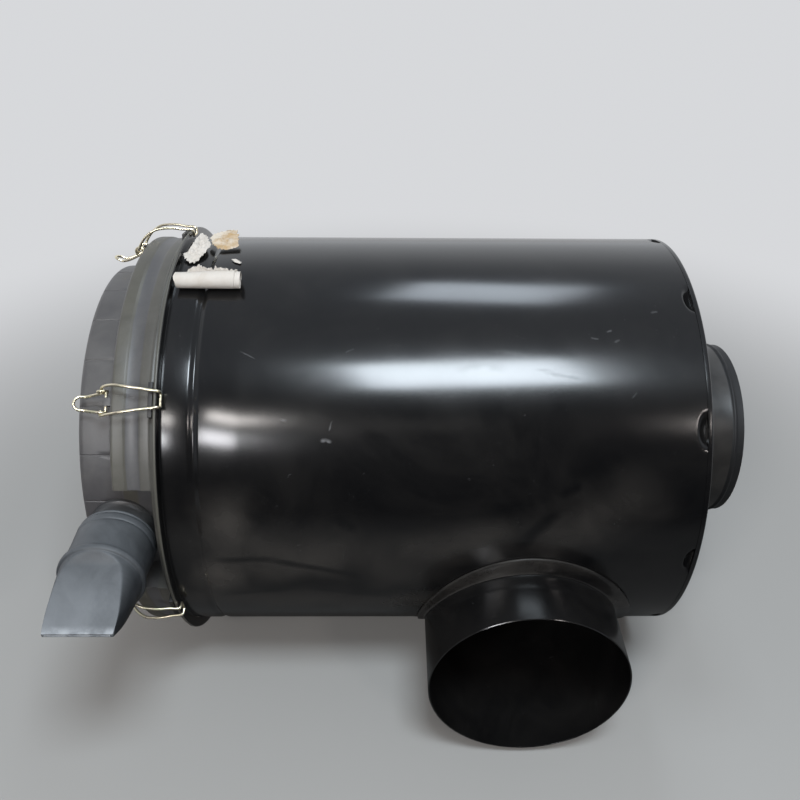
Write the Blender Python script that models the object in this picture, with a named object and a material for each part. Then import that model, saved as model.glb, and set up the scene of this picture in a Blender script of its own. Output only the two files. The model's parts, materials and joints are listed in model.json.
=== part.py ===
"""Two-stage air cleaner housing lying on its side, in metres, +Z up, axis along X.

The cylinder's axis runs along X: the dust cover is at -X, the outlet at +X, and the side inlet
and the dust valve point to -Y. Places along the axis are measured from the cover's joint, and
directions around it by an angle that is zero at -Y and grows towards +Z.
"""
import math

import bmesh
import bpy
from mathutils import Matrix, Vector

# Shared fits
GAP = 0.0003  # between pieces that touch
OVERRUN = 0.02  # how far a cutter runs past what it cuts
ROUND_SEGMENTS = 72
PIPE_SEGMENTS = 60
HIDDEN_SEGMENTS = 36
SHARP_ANGLE = math.radians(35)  # edges sharper than this are shaded sharp

# Housing
BODY_RADIUS = 0.225
BODY_LENGTH = 0.532
SHEET = 0.0015
BEAD_STATION = 0.0355
BEAD_WIDTH = 0.012
BEAD_DEPTH = 0.0025
BEAD_POINTS = 4
RIM_SEAM_WIDTH = 0.0055
RIM_SEAM_DEPTH = 0.0012
RIM_ROLL = 0.002
DIMPLE_COUNT = 9
DIMPLE_ANGLE = math.radians(-5)
DIMPLE_INSET = 0.0105
DIMPLE_WIDTH = 0.008
DIMPLE_DEPTH = 0.0022
DIMPLE_ROWS = 4
DIMPLE_HALF_ANGLE = math.radians(8)
DIMPLE_CORE_ANGLE = math.radians(3)
DIMPLE_SHOULDER_SHARE = 0.7

# Joint ring that the clips pull against
FLANGE_RISE = 0.01125
FLANGE_THICKNESS = 0.004
FLANGE_EDGE = 0.0008

# End plate and outlet
PLATE_INSET = 0.005
PLATE_RIM = 0.006
SWAGE_RADIUS = 0.150
SWAGE_WIDTH = 0.016
SWAGE_DEPTH = 0.004
OUTLET_RADIUS = 0.100
OUTLET_REACH = 0.083
OUTLET_SEAT = 0.045
HOSE_BEAD_INSET = 0.010
HOSE_BEAD_RISE = 0.0015
HOSE_BEAD_WIDTH = 0.006
HOSE_BEAD_SHOULDER_SHARE = 0.75

# Side inlet
INLET_RADIUS = 0.104
INLET_INSET = 0.166
INLET_REACH = 0.286
COLLAR_MARGIN = 0.020
COLLAR_THICKNESS = 0.0022
COLLAR_SEAT = 0.0007
COLLAR_OPENING = math.radians(52)
COLLAR_STEPS = 48
COLLAR_ROWS = 2

# Filter element and the sleeve round it
ELEMENT_RADIUS = 0.150
ELEMENT_START = 0.030
ELEMENT_CAP = 0.014
ELEMENT_CAP_LIP = 0.004
ELEMENT_END_CLEAR = 0.002
SLEEVE_RADIUS = 0.170
SLEEVE_LENGTH = 0.317

# Dust cover
COVER_DEPTH = 0.0856
COVER_WALL = 0.003
COVER_STEP_STATION = 0.0435
COVER_STEP_ROUND = 0.003
BOWL_INSET = 0.0325
BOWL_ROUND = 0.006
BOWL_TAPER = 0.001
BAND_GROOVE_DEPTH = 0.0014
BAND_RIDGE_SHARES = (0.36, 0.66)
COVER_RIM = 0.0062
POCKET_HALF_ANGLE = math.radians(16)
POCKET_RISE = 0.001
FACE_DISH_RADIUS = 0.120
FACE_DISH_DEPTH = 0.006
GASKET_WIDTH = 0.011
GASKET_THICKNESS = 0.0022

# Dust valve and the neck it hangs from
VALVE_ANGLE = math.radians(4)
VALVE_STATION = 0.0472
NECK_RADIUS = 0.030
NECK_WALL = 0.003
NECK_LENGTH = 0.016
VALVE_RADIUS = 0.0372
VALVE_RING = 0.0392
VALVE_RING_WIDTH = 0.006
VALVE_GROOVE_RADIUS = 0.0362
VALVE_MID_RING = 0.0385
VALVE_LENGTH = 0.1325
VALVE_COLLAR_LENGTH = 0.0635
VALVE_LIP_WIDTH = 0.0305
VALVE_LIP_THICKNESS = 0.006
VALVE_SEGMENTS = 36
VALVE_WEDGE_STEPS = 7

# Clips
CLIP_COUNT = 6
CLIP_ANGLE = math.radians(42)
WIRE_RADIUS = 0.0014
WIRE_SIDES = 6
PIVOT_OFFSET = 0.0045
PIVOT_INSET = 0.0086
CRANK_ANGLE = math.radians(198)
EYE_RADIUS = 0.0044
EYE_OFFSET = 0.0104
EYE_SEGMENTS = 10
LEVER_HALF_WIDTH = 0.0077
LEVER_TIP_REACH = 0.0362
LEVER_TIP_INSET = 0.0165
LEVER_KINK_REACH = 0.0265
LEVER_KINK_INSET = 0.0215
BAIL_HALF_WIDTH = 0.0138
BAIL_WAIST_HALF_WIDTH = 0.0157
BAIL_END_HALF_WIDTH = 0.0084
BAIL_CREST_CLEAR = 0.0004
BAIL_HOOK_RISE = 0.0068
BAIL_CLIMB_SHARES = (1, 0.8, 0.5, 0.2)  # of the band's width, from the lugs to the joint ring
BAIL_RISE_SHARES = (0.38, 0.81, 0.90, 0.965)  # of the height from the band to the crest
HOOK_CLEAR = 0.0010
PIN_CLEAR = 0.0003
LUG_HALF_WIDTH = 0.0042
LUG_WALL = 0.0022
LUG_CLEAR = 0.0003
KEEPER_HALF_WIDTH = 0.017
KEEPER_THICKNESS = 0.0042
KEEPER_CLEAR = 0.0005

# Torn paper label
CURL_RADIUS = 0.009
CURL_PAPER = 0.0006
CURL_START = 0.009
CURL_LENGTH = 0.064
CURL_ANGLE = math.radians(74.8)
CURL_TURN = math.radians(300)
CURL_STEPS = 18

# Sizes that follow
FLANGE_RADIUS = BODY_RADIUS + FLANGE_RISE
AXIS_HEIGHT = FLANGE_RADIUS
BAIL_CREST_RADIUS = FLANGE_RADIUS + WIRE_RADIUS + BAIL_CREST_CLEAR
BAIL_HOOK_RADIUS = BODY_RADIUS + BAIL_HOOK_RISE
BORE_RADIUS = BODY_RADIUS - SHEET
INLET_STATION = BODY_LENGTH - INLET_INSET
INLET_DROP = BODY_RADIUS + SHEET - INLET_RADIUS
SLEEVE_START = BODY_LENGTH - SLEEVE_LENGTH
BOWL_RADIUS = BODY_RADIUS - BOWL_INSET
POCKET_RADIUS = BOWL_RADIUS + POCKET_RISE
NECK_END = BOWL_RADIUS + NECK_LENGTH
VALVE_WEDGE_START = NECK_END + VALVE_COLLAR_LENGTH
VALVE_END = NECK_END + VALVE_LENGTH
PIVOT_STATION = COVER_STEP_STATION + PIVOT_OFFSET
PIVOT_RADIUS = BODY_RADIUS - PIVOT_INSET
LEVER_TIP_STATION = PIVOT_STATION + LEVER_TIP_REACH
LEVER_TIP_RADIUS = BODY_RADIUS - LEVER_TIP_INSET
LEVER_KINK_STATION = PIVOT_STATION + LEVER_KINK_REACH
LEVER_KINK_RADIUS = BODY_RADIUS - LEVER_KINK_INSET
VALVE_FRONT = VALVE_END * math.cos(VALVE_ANGLE) + VALVE_LIP_THICKNESS / 2 * math.sin(VALVE_ANGLE)
LEFT_REACH = max(COVER_DEPTH, VALVE_STATION + VALVE_RING)
SHIFT = Vector((
    (LEFT_REACH - BODY_LENGTH - OUTLET_REACH) / 2,
    (VALVE_FRONT - FLANGE_RADIUS) / 2,
    AXIS_HEIGHT,
))


def clear_scene():
    """Remove every object of the startup scene."""
    for old in list(bpy.data.objects):
        bpy.data.objects.remove(old, do_unlink=True)


def material(name, colour, roughness, metallic=0.0):
    """A plain Principled material of its own."""
    made = bpy.data.materials.new(name)
    made.use_nodes = True
    shader = made.node_tree.nodes["Principled BSDF"]
    shader.inputs["Base Color"].default_value = (*colour, 1)
    shader.inputs["Roughness"].default_value = roughness
    shader.inputs["Metallic"].default_value = metallic
    made.diffuse_color = (*colour, 1)
    return made


def at(station, radius, angle, side=0.0):
    """Point at a place along the axis, a distance from it, an angle round it and a sideways step."""
    cos, sin = math.cos(angle), math.sin(angle)
    return SHIFT + Vector((station, side * sin - radius * cos, side * cos + radius * sin))


def add_object(name, verts, faces, look, smooth=True):
    """Object from points and faces, turned outwards."""
    mesh = bpy.data.meshes.new(name)
    mesh.from_pydata([tuple(v) for v in verts], [], faces)
    work = bmesh.new()
    work.from_mesh(mesh)
    bmesh.ops.recalc_face_normals(work, faces=work.faces)
    if work.calc_volume(signed=True) < 0:
        bmesh.ops.reverse_faces(work, faces=work.faces)
    for face in work.faces:
        face.smooth = smooth
    work.to_mesh(mesh)
    work.free()
    mesh.materials.append(look)
    made = bpy.data.objects.new(name, mesh)
    bpy.context.scene.collection.objects.link(made)
    if smooth:
        mesh.set_sharp_from_angle(angle=SHARP_ANGLE)
    return made


def grid_faces(rows, columns, wrap_rows=False, wrap_columns=True):
    """Quads of a grid of points stored row by row."""
    faces = []
    for i in range(rows if wrap_rows else rows - 1):
        for j in range(columns if wrap_columns else columns - 1):
            a, b = i * columns, (i + 1) % rows * columns
            k = (j + 1) % columns
            faces.append((a + j, a + k, b + k, b + j))
    return faces


def revolve(name, profile, look, segments=ROUND_SEGMENTS, radius_at=None):
    """Closed ring from an outline of (station, radius) round the housing's axis."""
    verts = []
    for i, (station, radius) in enumerate(profile):
        for j in range(segments):
            angle = 2 * math.pi * j / segments
            here = radius_at(i, radius, angle) if radius_at else radius
            verts.append(at(station, here, angle))
    return add_object(name, verts, grid_faces(len(profile), segments, wrap_rows=True), look)


def lathe_solid(name, profile, look, segments=ROUND_SEGMENTS, radius_at=None):
    """Closed solid from an outline that starts and ends on the axis; its ends are centre points."""
    verts = [at(profile[0][0], 0, 0)]
    for i, (station, radius) in enumerate(profile[1:-1]):
        for j in range(segments):
            angle = 2 * math.pi * j / segments
            here = radius_at(i, radius, angle) if radius_at else radius
            verts.append(at(station, here, angle))
    verts.append(at(profile[-1][0], 0, 0))
    rows = len(profile) - 2
    faces = [tuple(v + 1 for v in face) for face in grid_faces(rows, segments)]
    last = len(verts) - 1
    for j in range(segments):
        k = (j + 1) % segments
        faces.append((0, 1 + k, 1 + j))
        faces.append((last, last - segments + j, last - segments + k))
    return add_object(name, verts, faces, look)


def loft(name, rings, look, closed=False):
    """Solid through rings of points; a closed one joins its last ring to its first."""
    columns = len(rings[0])
    verts = [v for ring in rings for v in ring]
    faces = grid_faces(len(rings), columns, wrap_rows=closed)
    if not closed:
        faces.append(tuple(range(columns)))
        faces.append(tuple(range((len(rings) - 1) * columns, len(rings) * columns)))
    return add_object(name, verts, faces, look)


def wire(name, path, look, closed=False, sides=WIRE_SIDES):
    """Round wire of the clips' thickness along a path."""
    count = len(path)
    rings = []
    normal = None
    for i, point in enumerate(path):
        before = path[(i - 1) % count] if closed or i else point
        after = path[(i + 1) % count] if closed or i < count - 1 else point
        tangent = (after - before).normalized()
        if normal is None:
            normal = tangent.orthogonal().normalized()
            if closed:
                normal = tangent.cross(Vector((0.0, 0.0, 1.0))).normalized()
        normal = (normal - normal.dot(tangent) * tangent).normalized()
        other = tangent.cross(normal)
        rings.append([
            point + WIRE_RADIUS * (math.cos(turn) * normal + math.sin(turn) * other)
            for turn in (2 * math.pi * k / sides for k in range(sides))
        ])
    return loft(name, rings, look, closed=closed)


def cylinder(name, start, end, radius, look, segments=PIPE_SEGMENTS):
    """Solid cylinder between two points."""
    along = (end - start).normalized()
    first = along.orthogonal().normalized()
    if abs(along.y) > abs(along.x):
        first = Vector((0.0, 0.0, 1.0))
        first = (first - first.dot(along) * along).normalized()
    second = along.cross(first)
    rings = [
        [
            centre + radius * (math.cos(turn) * first + math.sin(turn) * second)
            for turn in (2 * math.pi * (k + 0.5) / segments for k in range(segments))
        ]
        for centre in (start, end)
    ]
    return loft(name, rings, look)


def carve(target, tool, operation="DIFFERENCE"):
    """Boolean applied at once; the tool is removed."""
    step = target.modifiers.new(operation.lower(), "BOOLEAN")
    step.operation = operation
    step.solver = "EXACT"
    step.object = tool
    bpy.context.view_layer.update()
    graph = bpy.context.evaluated_depsgraph_get()
    made = bpy.data.meshes.new_from_object(target.evaluated_get(graph))
    target.modifiers.clear()
    target.data = made
    bpy.data.objects.remove(tool, do_unlink=True)
    made.set_sharp_from_angle(angle=SHARP_ANGLE)
    return target


def hang(made, pivot):
    """Moves an object's origin to a point of its hinge, its shape left where it is."""
    made.data.transform(Matrix.Translation(-pivot))
    made.location = pivot


def prism(name, outline, half_width, angle, look):
    """Outline of (station, radius) made thick sideways, symmetric about an angle round the axis."""
    count = len(outline)
    verts = [at(s, r, angle, side) for side in (-half_width, half_width) for s, r in outline]
    faces = [tuple(range(count)), tuple(range(count, 2 * count))]
    faces += [(k, (k + 1) % count, (k + 1) % count + count, k + count) for k in range(count)]
    return add_object(name, verts, faces, look, smooth=False)


def smooth_path(points, steps):
    """Points along a Catmull-Rom curve through the given ones."""
    out = []
    last = len(points) - 1
    for i in range(last):
        a, b = points[max(i - 1, 0)], points[i]
        c, d = points[i + 1], points[min(i + 2, last)]
        for k in range(steps):
            t = k / steps
            out.append(0.5 * (
                2 * b + (c - a) * t + (2 * a - 5 * b + 4 * c - d) * t * t
                + (3 * b - a - 3 * c + d) * t * t * t
            ))
    out.append(points[-1])
    return out


def bead_outline(wall):
    """The rolled groove's points from the joint side to the outlet side, on one face of the sheet."""
    points = []
    for k in range(BEAD_POINTS + 1):
        share = k / BEAD_POINTS
        dip = BEAD_DEPTH * (1 - math.cos(2 * math.pi * share)) / 2
        station = BEAD_STATION + BEAD_WIDTH * (share - 0.5)
        points.append((station, BODY_RADIUS - wall - dip))
    return points


def dimple_dip(station, angle):
    """How deep the crimps near the outlet rim press the sheet in at a place."""
    across = abs(station - (BODY_LENGTH - DIMPLE_INSET)) / (DIMPLE_WIDTH / 2)
    if across > 1:
        return 0.0
    pitch = 2 * math.pi / DIMPLE_COUNT
    off = abs((angle - DIMPLE_ANGLE + pitch / 2) % pitch - pitch / 2)
    if off > DIMPLE_HALF_ANGLE:
        return 0.0
    share = 1.0 if off < DIMPLE_CORE_ANGLE else DIMPLE_SHOULDER_SHARE
    return DIMPLE_DEPTH * share * (1 - across * across)


def build_housing(looks):
    """Shell with its inlet hole, joint ring, end plate and outlet tube."""
    end = BODY_LENGTH
    first = end - DIMPLE_INSET - DIMPLE_WIDTH / 2
    rows = [first + DIMPLE_WIDTH * k / DIMPLE_ROWS for k in range(DIMPLE_ROWS + 1)]
    seam = end - RIM_SEAM_WIDTH
    outer = [(0, BODY_RADIUS)] + bead_outline(0) + [(row, BODY_RADIUS) for row in rows]
    outer += [
        (seam - RIM_SEAM_DEPTH / 2, BODY_RADIUS),
        (seam, BODY_RADIUS - RIM_SEAM_DEPTH),
        (seam + RIM_SEAM_DEPTH / 2, BODY_RADIUS - RIM_SEAM_DEPTH / 4),
        (end - RIM_ROLL / 2, BODY_RADIUS - RIM_SEAM_DEPTH / 2),
        (end, BODY_RADIUS - RIM_ROLL),
    ]
    inner = [
        (end, BORE_RADIUS - RIM_ROLL), (end - RIM_ROLL, BORE_RADIUS - RIM_SEAM_DEPTH),
        (end - PLATE_INSET - SHEET, BORE_RADIUS - RIM_SEAM_DEPTH),
    ]
    inner += [(row, BORE_RADIUS) for row in reversed(rows[:-1])]
    inner += list(reversed(bead_outline(SHEET))) + [(0, BORE_RADIUS)]
    profile = outer + inner

    def dented(index, radius, angle):
        return radius - dimple_dip(profile[index][0], angle)

    shell = revolve("body_shell", profile, looks["shell"], radius_at=dented)
    bore = INLET_RADIUS - SHEET
    mouth = at(INLET_STATION, INLET_REACH, 0, -INLET_DROP)
    deep = at(INLET_STATION, 0, 0, -INLET_DROP)
    carve(shell, cylinder("inlet_cutter", mouth, deep, bore, looks["shell"]))

    ring_in = BODY_RADIUS + GAP
    revolve("body_flange", [
        (0, ring_in), (0, FLANGE_RADIUS - FLANGE_EDGE), (FLANGE_EDGE, FLANGE_RADIUS),
        (FLANGE_THICKNESS - FLANGE_EDGE, FLANGE_RADIUS),
        (FLANGE_THICKNESS, FLANGE_RADIUS - FLANGE_EDGE), (FLANGE_THICKNESS, ring_in),
    ], looks["flange"])

    plate_out = BORE_RADIUS - RIM_SEAM_DEPTH - GAP
    plate_in = OUTLET_RADIUS + GAP
    face = end - PLATE_INSET
    dish = [
        (face, plate_out), (face, SWAGE_RADIUS + SWAGE_WIDTH / 2),
        (face + SWAGE_DEPTH - PLATE_INSET / 2, SWAGE_RADIUS + SWAGE_WIDTH / 4),
        (face + SWAGE_DEPTH - PLATE_INSET / 2, SWAGE_RADIUS - SWAGE_WIDTH / 4),
        (face, SWAGE_RADIUS - SWAGE_WIDTH / 2), (face, plate_in),
    ]
    back = [(station - SHEET, radius) for station, radius in reversed(dish)]
    revolve("end_plate", dish + back, looks["end_plate"])

    tip = end + OUTLET_REACH
    bead = tip - HOSE_BEAD_INSET
    tube_out = [
        (end - PLATE_INSET - OUTLET_SEAT, OUTLET_RADIUS), (bead - HOSE_BEAD_WIDTH / 2, OUTLET_RADIUS),
        (bead - HOSE_BEAD_WIDTH / 4, OUTLET_RADIUS + HOSE_BEAD_RISE * HOSE_BEAD_SHOULDER_SHARE),
        (bead, OUTLET_RADIUS + HOSE_BEAD_RISE),
        (bead + HOSE_BEAD_WIDTH / 4, OUTLET_RADIUS + HOSE_BEAD_RISE * HOSE_BEAD_SHOULDER_SHARE),
        (bead + HOSE_BEAD_WIDTH / 2, OUTLET_RADIUS), (tip, OUTLET_RADIUS),
    ]
    tube_in = [(tip, OUTLET_RADIUS - SHEET), (end - PLATE_INSET - OUTLET_SEAT, OUTLET_RADIUS - SHEET)]
    revolve("outlet_tube", tube_out + tube_in, looks["outlet"])


def build_inlet(looks):
    """Side pipe that meets the shell along its curve, and the saddle plate round it."""
    mouth = at(INLET_STATION, INLET_REACH, 0, -INLET_DROP)
    deep = at(INLET_STATION, 0, 0, -INLET_DROP)
    beyond = at(INLET_STATION, INLET_REACH + OVERRUN, 0, -INLET_DROP)
    past = at(INLET_STATION, -OVERRUN, 0, -INLET_DROP)
    pipe = cylinder("inlet_pipe", mouth, deep, INLET_RADIUS, looks["inlet"])
    carve(pipe, cylinder("bore_cutter", beyond, past, INLET_RADIUS - SHEET, looks["inlet"]))
    start = at(INLET_STATION - INLET_RADIUS - OVERRUN, 0, 0)
    stop = at(INLET_STATION + INLET_RADIUS + OVERRUN, 0, 0)
    tool = cylinder("shell_cutter", start, stop, BODY_RADIUS + GAP, looks["inlet"], ROUND_SEGMENTS)
    carve(pipe, tool)

    low, high = BODY_RADIUS + COLLAR_SEAT, BODY_RADIUS + COLLAR_SEAT + COLLAR_THICKNESS
    near = INLET_RADIUS + GAP
    far = INLET_RADIUS + COLLAR_MARGIN
    edge = COLLAR_THICKNESS / 2
    rings = []
    for i in range(COLLAR_STEPS + 1):
        turn = -math.pi + COLLAR_OPENING + (2 * math.pi - 2 * COLLAR_OPENING) * i / COLLAR_STEPS
        section = [(near, low), (near, high)]
        section += [
            (near + (far - edge - near) * k / COLLAR_ROWS, high) for k in range(1, COLLAR_ROWS + 1)
        ]
        section += [(far, low + edge), (far, low)]
        section += [(far + (near - far) * k / COLLAR_ROWS, low) for k in range(1, COLLAR_ROWS)]
        ring = []
        for reach, radius in section:
            height = reach * math.cos(turn) - INLET_DROP
            ring.append(at(
                INLET_STATION + reach * math.sin(turn), math.sqrt(radius ** 2 - height ** 2), 0, height,
            ))
        rings.append(ring)
    loft("inlet_collar", rings, looks["collar"])


def build_filter(looks):
    """Filter element on the outlet tube, its closed cap, and the sleeve that guards it."""
    last = BODY_LENGTH - PLATE_INSET - SHEET
    inner = OUTLET_RADIUS + GAP
    revolve("filter_element", [
        (ELEMENT_START + ELEMENT_CAP + GAP, inner), (ELEMENT_START + ELEMENT_CAP + GAP, ELEMENT_RADIUS),
        (last - ELEMENT_END_CLEAR, ELEMENT_RADIUS), (last - ELEMENT_END_CLEAR, inner),
    ], looks["element"])
    lathe_solid("element_cap", [
        (ELEMENT_START, 0), (ELEMENT_START, ELEMENT_RADIUS),
        (ELEMENT_START + ELEMENT_CAP_LIP, ELEMENT_RADIUS + ELEMENT_CAP_LIP),
        (ELEMENT_START + ELEMENT_CAP, ELEMENT_RADIUS + ELEMENT_CAP_LIP),
        (ELEMENT_START + ELEMENT_CAP, 0),
    ], looks["element_cap"], HIDDEN_SEGMENTS)
    revolve("guard_sleeve", [
        (SLEEVE_START, SLEEVE_RADIUS - SHEET), (SLEEVE_START, SLEEVE_RADIUS),
        (last - GAP, SLEEVE_RADIUS), (last - GAP, SLEEVE_RADIUS - SHEET),
    ], looks["sleeve"], HIDDEN_SEGMENTS)


def pocket_share(angle):
    """How much of the cover's pocket round the neck is present at an angle."""
    off = abs((angle - VALVE_ANGLE + math.pi) % (2 * math.pi) - math.pi)
    return 1.0 if off < POCKET_HALF_ANGLE else 0.0


def cover_outline(wall):
    """(station, radius, radius in the pocket) from the joint to the face, on one side of the wall."""
    step = COVER_STEP_STATION
    first, second = (step * share for share in BAND_RIDGE_SHARES)
    band = BODY_RADIUS - wall
    low = band - BAND_GROOVE_DEPTH
    pocket = POCKET_RADIUS - wall
    bowl = BOWL_RADIUS - wall
    depth = COVER_DEPTH - wall
    points = [
        (-GAP, band, band), (-COVER_RIM + wall, band, band), (-COVER_RIM + wall - 2 * GAP, band, pocket),
        (-first, band, pocket), (-first - BAND_GROOVE_DEPTH, low, pocket),
        (-second, low, pocket), (-second - BAND_GROOVE_DEPTH, band, pocket),
        (-step + COVER_STEP_ROUND + wall, band, pocket),
        (-step + wall, band - COVER_STEP_ROUND, pocket),
        (-step + wall, bowl + COVER_STEP_ROUND, bowl + BOWL_TAPER),
        (-step - COVER_STEP_ROUND, bowl, bowl),
        (-depth + BOWL_ROUND, bowl - BOWL_TAPER, bowl - BOWL_TAPER),
        (-depth + BOWL_ROUND / 4, bowl - BOWL_TAPER - BOWL_ROUND / 4, bowl - BOWL_TAPER - BOWL_ROUND / 4),
        (-depth, bowl - BOWL_TAPER - BOWL_ROUND, bowl - BOWL_TAPER - BOWL_ROUND),
        (-depth, FACE_DISH_RADIUS + FACE_DISH_DEPTH, FACE_DISH_RADIUS + FACE_DISH_DEPTH),
        (-depth + FACE_DISH_DEPTH, FACE_DISH_RADIUS, FACE_DISH_RADIUS),
    ]
    return points


def build_cover(looks):
    """Hollow dust cover with the neck for the valve, its gasket and the valve."""
    outer, inner = cover_outline(0), cover_outline(COVER_WALL)
    profile = [(-COVER_DEPTH + FACE_DISH_DEPTH, 0)] + [row[:2] for row in reversed(outer)]
    profile += [row[:2] for row in inner] + [(-COVER_DEPTH + COVER_WALL + FACE_DISH_DEPTH, 0)]
    pockets = [row[2] for row in reversed(outer)] + [row[2] for row in inner]

    def pocketed(index, radius, angle):
        share = pocket_share(angle)
        return radius * (1 - share) + pockets[index] * share

    cover = lathe_solid("dust_cover", profile, looks["cover"], ROUND_SEGMENTS, pocketed)
    root = at(-VALVE_STATION, BOWL_RADIUS - COVER_WALL - OVERRUN / 4, VALVE_ANGLE)
    tip = at(-VALVE_STATION, NECK_END, VALVE_ANGLE)
    carve(cover, cylinder("neck", root, tip, NECK_RADIUS, looks["cover"], VALVE_SEGMENTS), "UNION")
    below = at(-VALVE_STATION, BOWL_RADIUS - COVER_WALL - OVERRUN, VALVE_ANGLE)
    above = at(-VALVE_STATION, NECK_END + OVERRUN, VALVE_ANGLE)
    bore = NECK_RADIUS - NECK_WALL
    carve(cover, cylinder("neck_bore", below, above, bore, looks["cover"], VALVE_SEGMENTS))

    out = BODY_RADIUS - COVER_WALL - GAP
    revolve("cover_gasket", [
        (-2 * GAP, out), (-2 * GAP, out - GASKET_WIDTH),
        (-2 * GAP - GASKET_THICKNESS, out - GASKET_WIDTH), (-2 * GAP - GASKET_THICKNESS, out),
    ], looks["gasket"])
    build_valve(looks)


def build_valve(looks):
    """Rubber valve: ringed collar, then a duckbill that narrows to a flat lip along X."""
    start = NECK_END + GAP
    ring, mid = VALVE_RING_WIDTH, (start + VALVE_WEDGE_START) / 2
    collar = [
        (start, VALVE_RADIUS), (start + ring / 4, VALVE_RING), (start + ring, VALVE_RING),
        (start + ring + ring / 4, VALVE_RADIUS), (mid - ring, VALVE_RADIUS),
        (mid - ring / 2, VALVE_GROOVE_RADIUS), (mid, VALVE_GROOVE_RADIUS), (mid + ring / 2, VALVE_RADIUS),
        (VALVE_WEDGE_START - ring, VALVE_RADIUS), (VALVE_WEDGE_START - ring / 2, VALVE_MID_RING),
        (VALVE_WEDGE_START, VALVE_MID_RING), (VALVE_WEDGE_START + ring / 2, VALVE_GROOVE_RADIUS),
    ]
    rows = [(reach, radius, radius) for reach, radius in collar]
    first = VALVE_WEDGE_START + ring / 2
    for k in range(1, VALVE_WEDGE_STEPS + 1):
        share = k / VALVE_WEDGE_STEPS
        reach = first + (VALVE_END - first) * share
        width = VALVE_GROOVE_RADIUS + (VALVE_LIP_WIDTH - VALVE_GROOVE_RADIUS) * share
        half = VALVE_GROOVE_RADIUS + (VALVE_LIP_THICKNESS / 2 - VALVE_GROOVE_RADIUS) * share
        rows.append((reach, width, half))
    rings = []
    for reach, width, half in rows:
        ring_points = []
        for k in range(VALVE_SEGMENTS):
            turn = 2 * math.pi * (k + 0.5) / VALVE_SEGMENTS
            side = max(-half, min(half, width * math.sin(turn)))
            ring_points.append(at(-VALVE_STATION + width * math.cos(turn), reach, VALVE_ANGLE, side))
        rings.append(ring_points)
    loft("dust_valve", rings, looks["valve"])


def clip_points():
    """Crank pin and eye centre of a closed clip, as (station, radius)."""
    pivot = (-PIVOT_STATION - WIRE_RADIUS - GAP, PIVOT_RADIUS)
    eye = tuple(p + EYE_RADIUS * f(CRANK_ANGLE) for p, f in zip(pivot, (math.cos, math.sin)))
    crank = 2 * EYE_RADIUS - 2 * WIRE_RADIUS - PIN_CLEAR
    pin = tuple(p + crank * f(CRANK_ANGLE) for p, f in zip(pivot, (math.cos, math.sin)))
    return pivot, eye, pin


def lever_mesh(name, angle, looks):
    """Handle loop, two eyes and the cross wire of one lever, as one solid."""
    pivot, eye, _ = clip_points()
    side = LEVER_HALF_WIDTH
    reach = EYE_RADIUS * math.cos(CRANK_ANGLE)
    arm = [
        Vector((eye[0] + reach, eye[1], EYE_OFFSET)),
        Vector((eye[0] + reach * 2, eye[1] + reach, (EYE_OFFSET + side) / 2)),
        Vector((-LEVER_KINK_STATION, LEVER_KINK_RADIUS, side)),
        Vector((-(LEVER_KINK_STATION + LEVER_TIP_STATION) / 2, (LEVER_KINK_RADIUS + LEVER_TIP_RADIUS) / 2, side)),
        Vector((-LEVER_TIP_STATION, LEVER_TIP_RADIUS, side / 2)),
    ]
    run = smooth_path(arm, 3)
    full = run + [Vector((p.x, p.y, -p.z)) for p in reversed(run)]
    handle = wire(name, [at(p.x, p.y, angle, p.z) for p in full], looks["lever"])
    for turn in (-1, 1):
        ring = []
        for k in range(EYE_SEGMENTS):
            spin = CRANK_ANGLE + 2 * math.pi * k / EYE_SEGMENTS
            ring.append(at(
                eye[0] + EYE_RADIUS * math.cos(spin), eye[1] + EYE_RADIUS * math.sin(spin),
                angle, turn * EYE_OFFSET,
            ))
        rings = []
        across = (at(0, 0, angle, 1) - at(0, 0, angle, 0)).normalized()
        centre = at(eye[0], eye[1], angle, turn * EYE_OFFSET)
        for point in ring:
            outward = (point - centre).normalized()
            rings.append([
                point + WIRE_RADIUS * (math.cos(a) * outward + math.sin(a) * across)
                for a in (2 * math.pi * (m + 0.5) / WIRE_SIDES for m in range(WIRE_SIDES))
            ])
        carve(handle, loft("eye", rings, looks["lever"], closed=True), "UNION")
    ends = [at(pivot[0], pivot[1], angle, turn * EYE_OFFSET) for turn in (-1, 1)]
    cross = cylinder("cross", ends[0], ends[1], WIRE_RADIUS, looks["lever"], 2 * WIRE_SIDES)
    return carve(handle, cross, "UNION")


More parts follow.
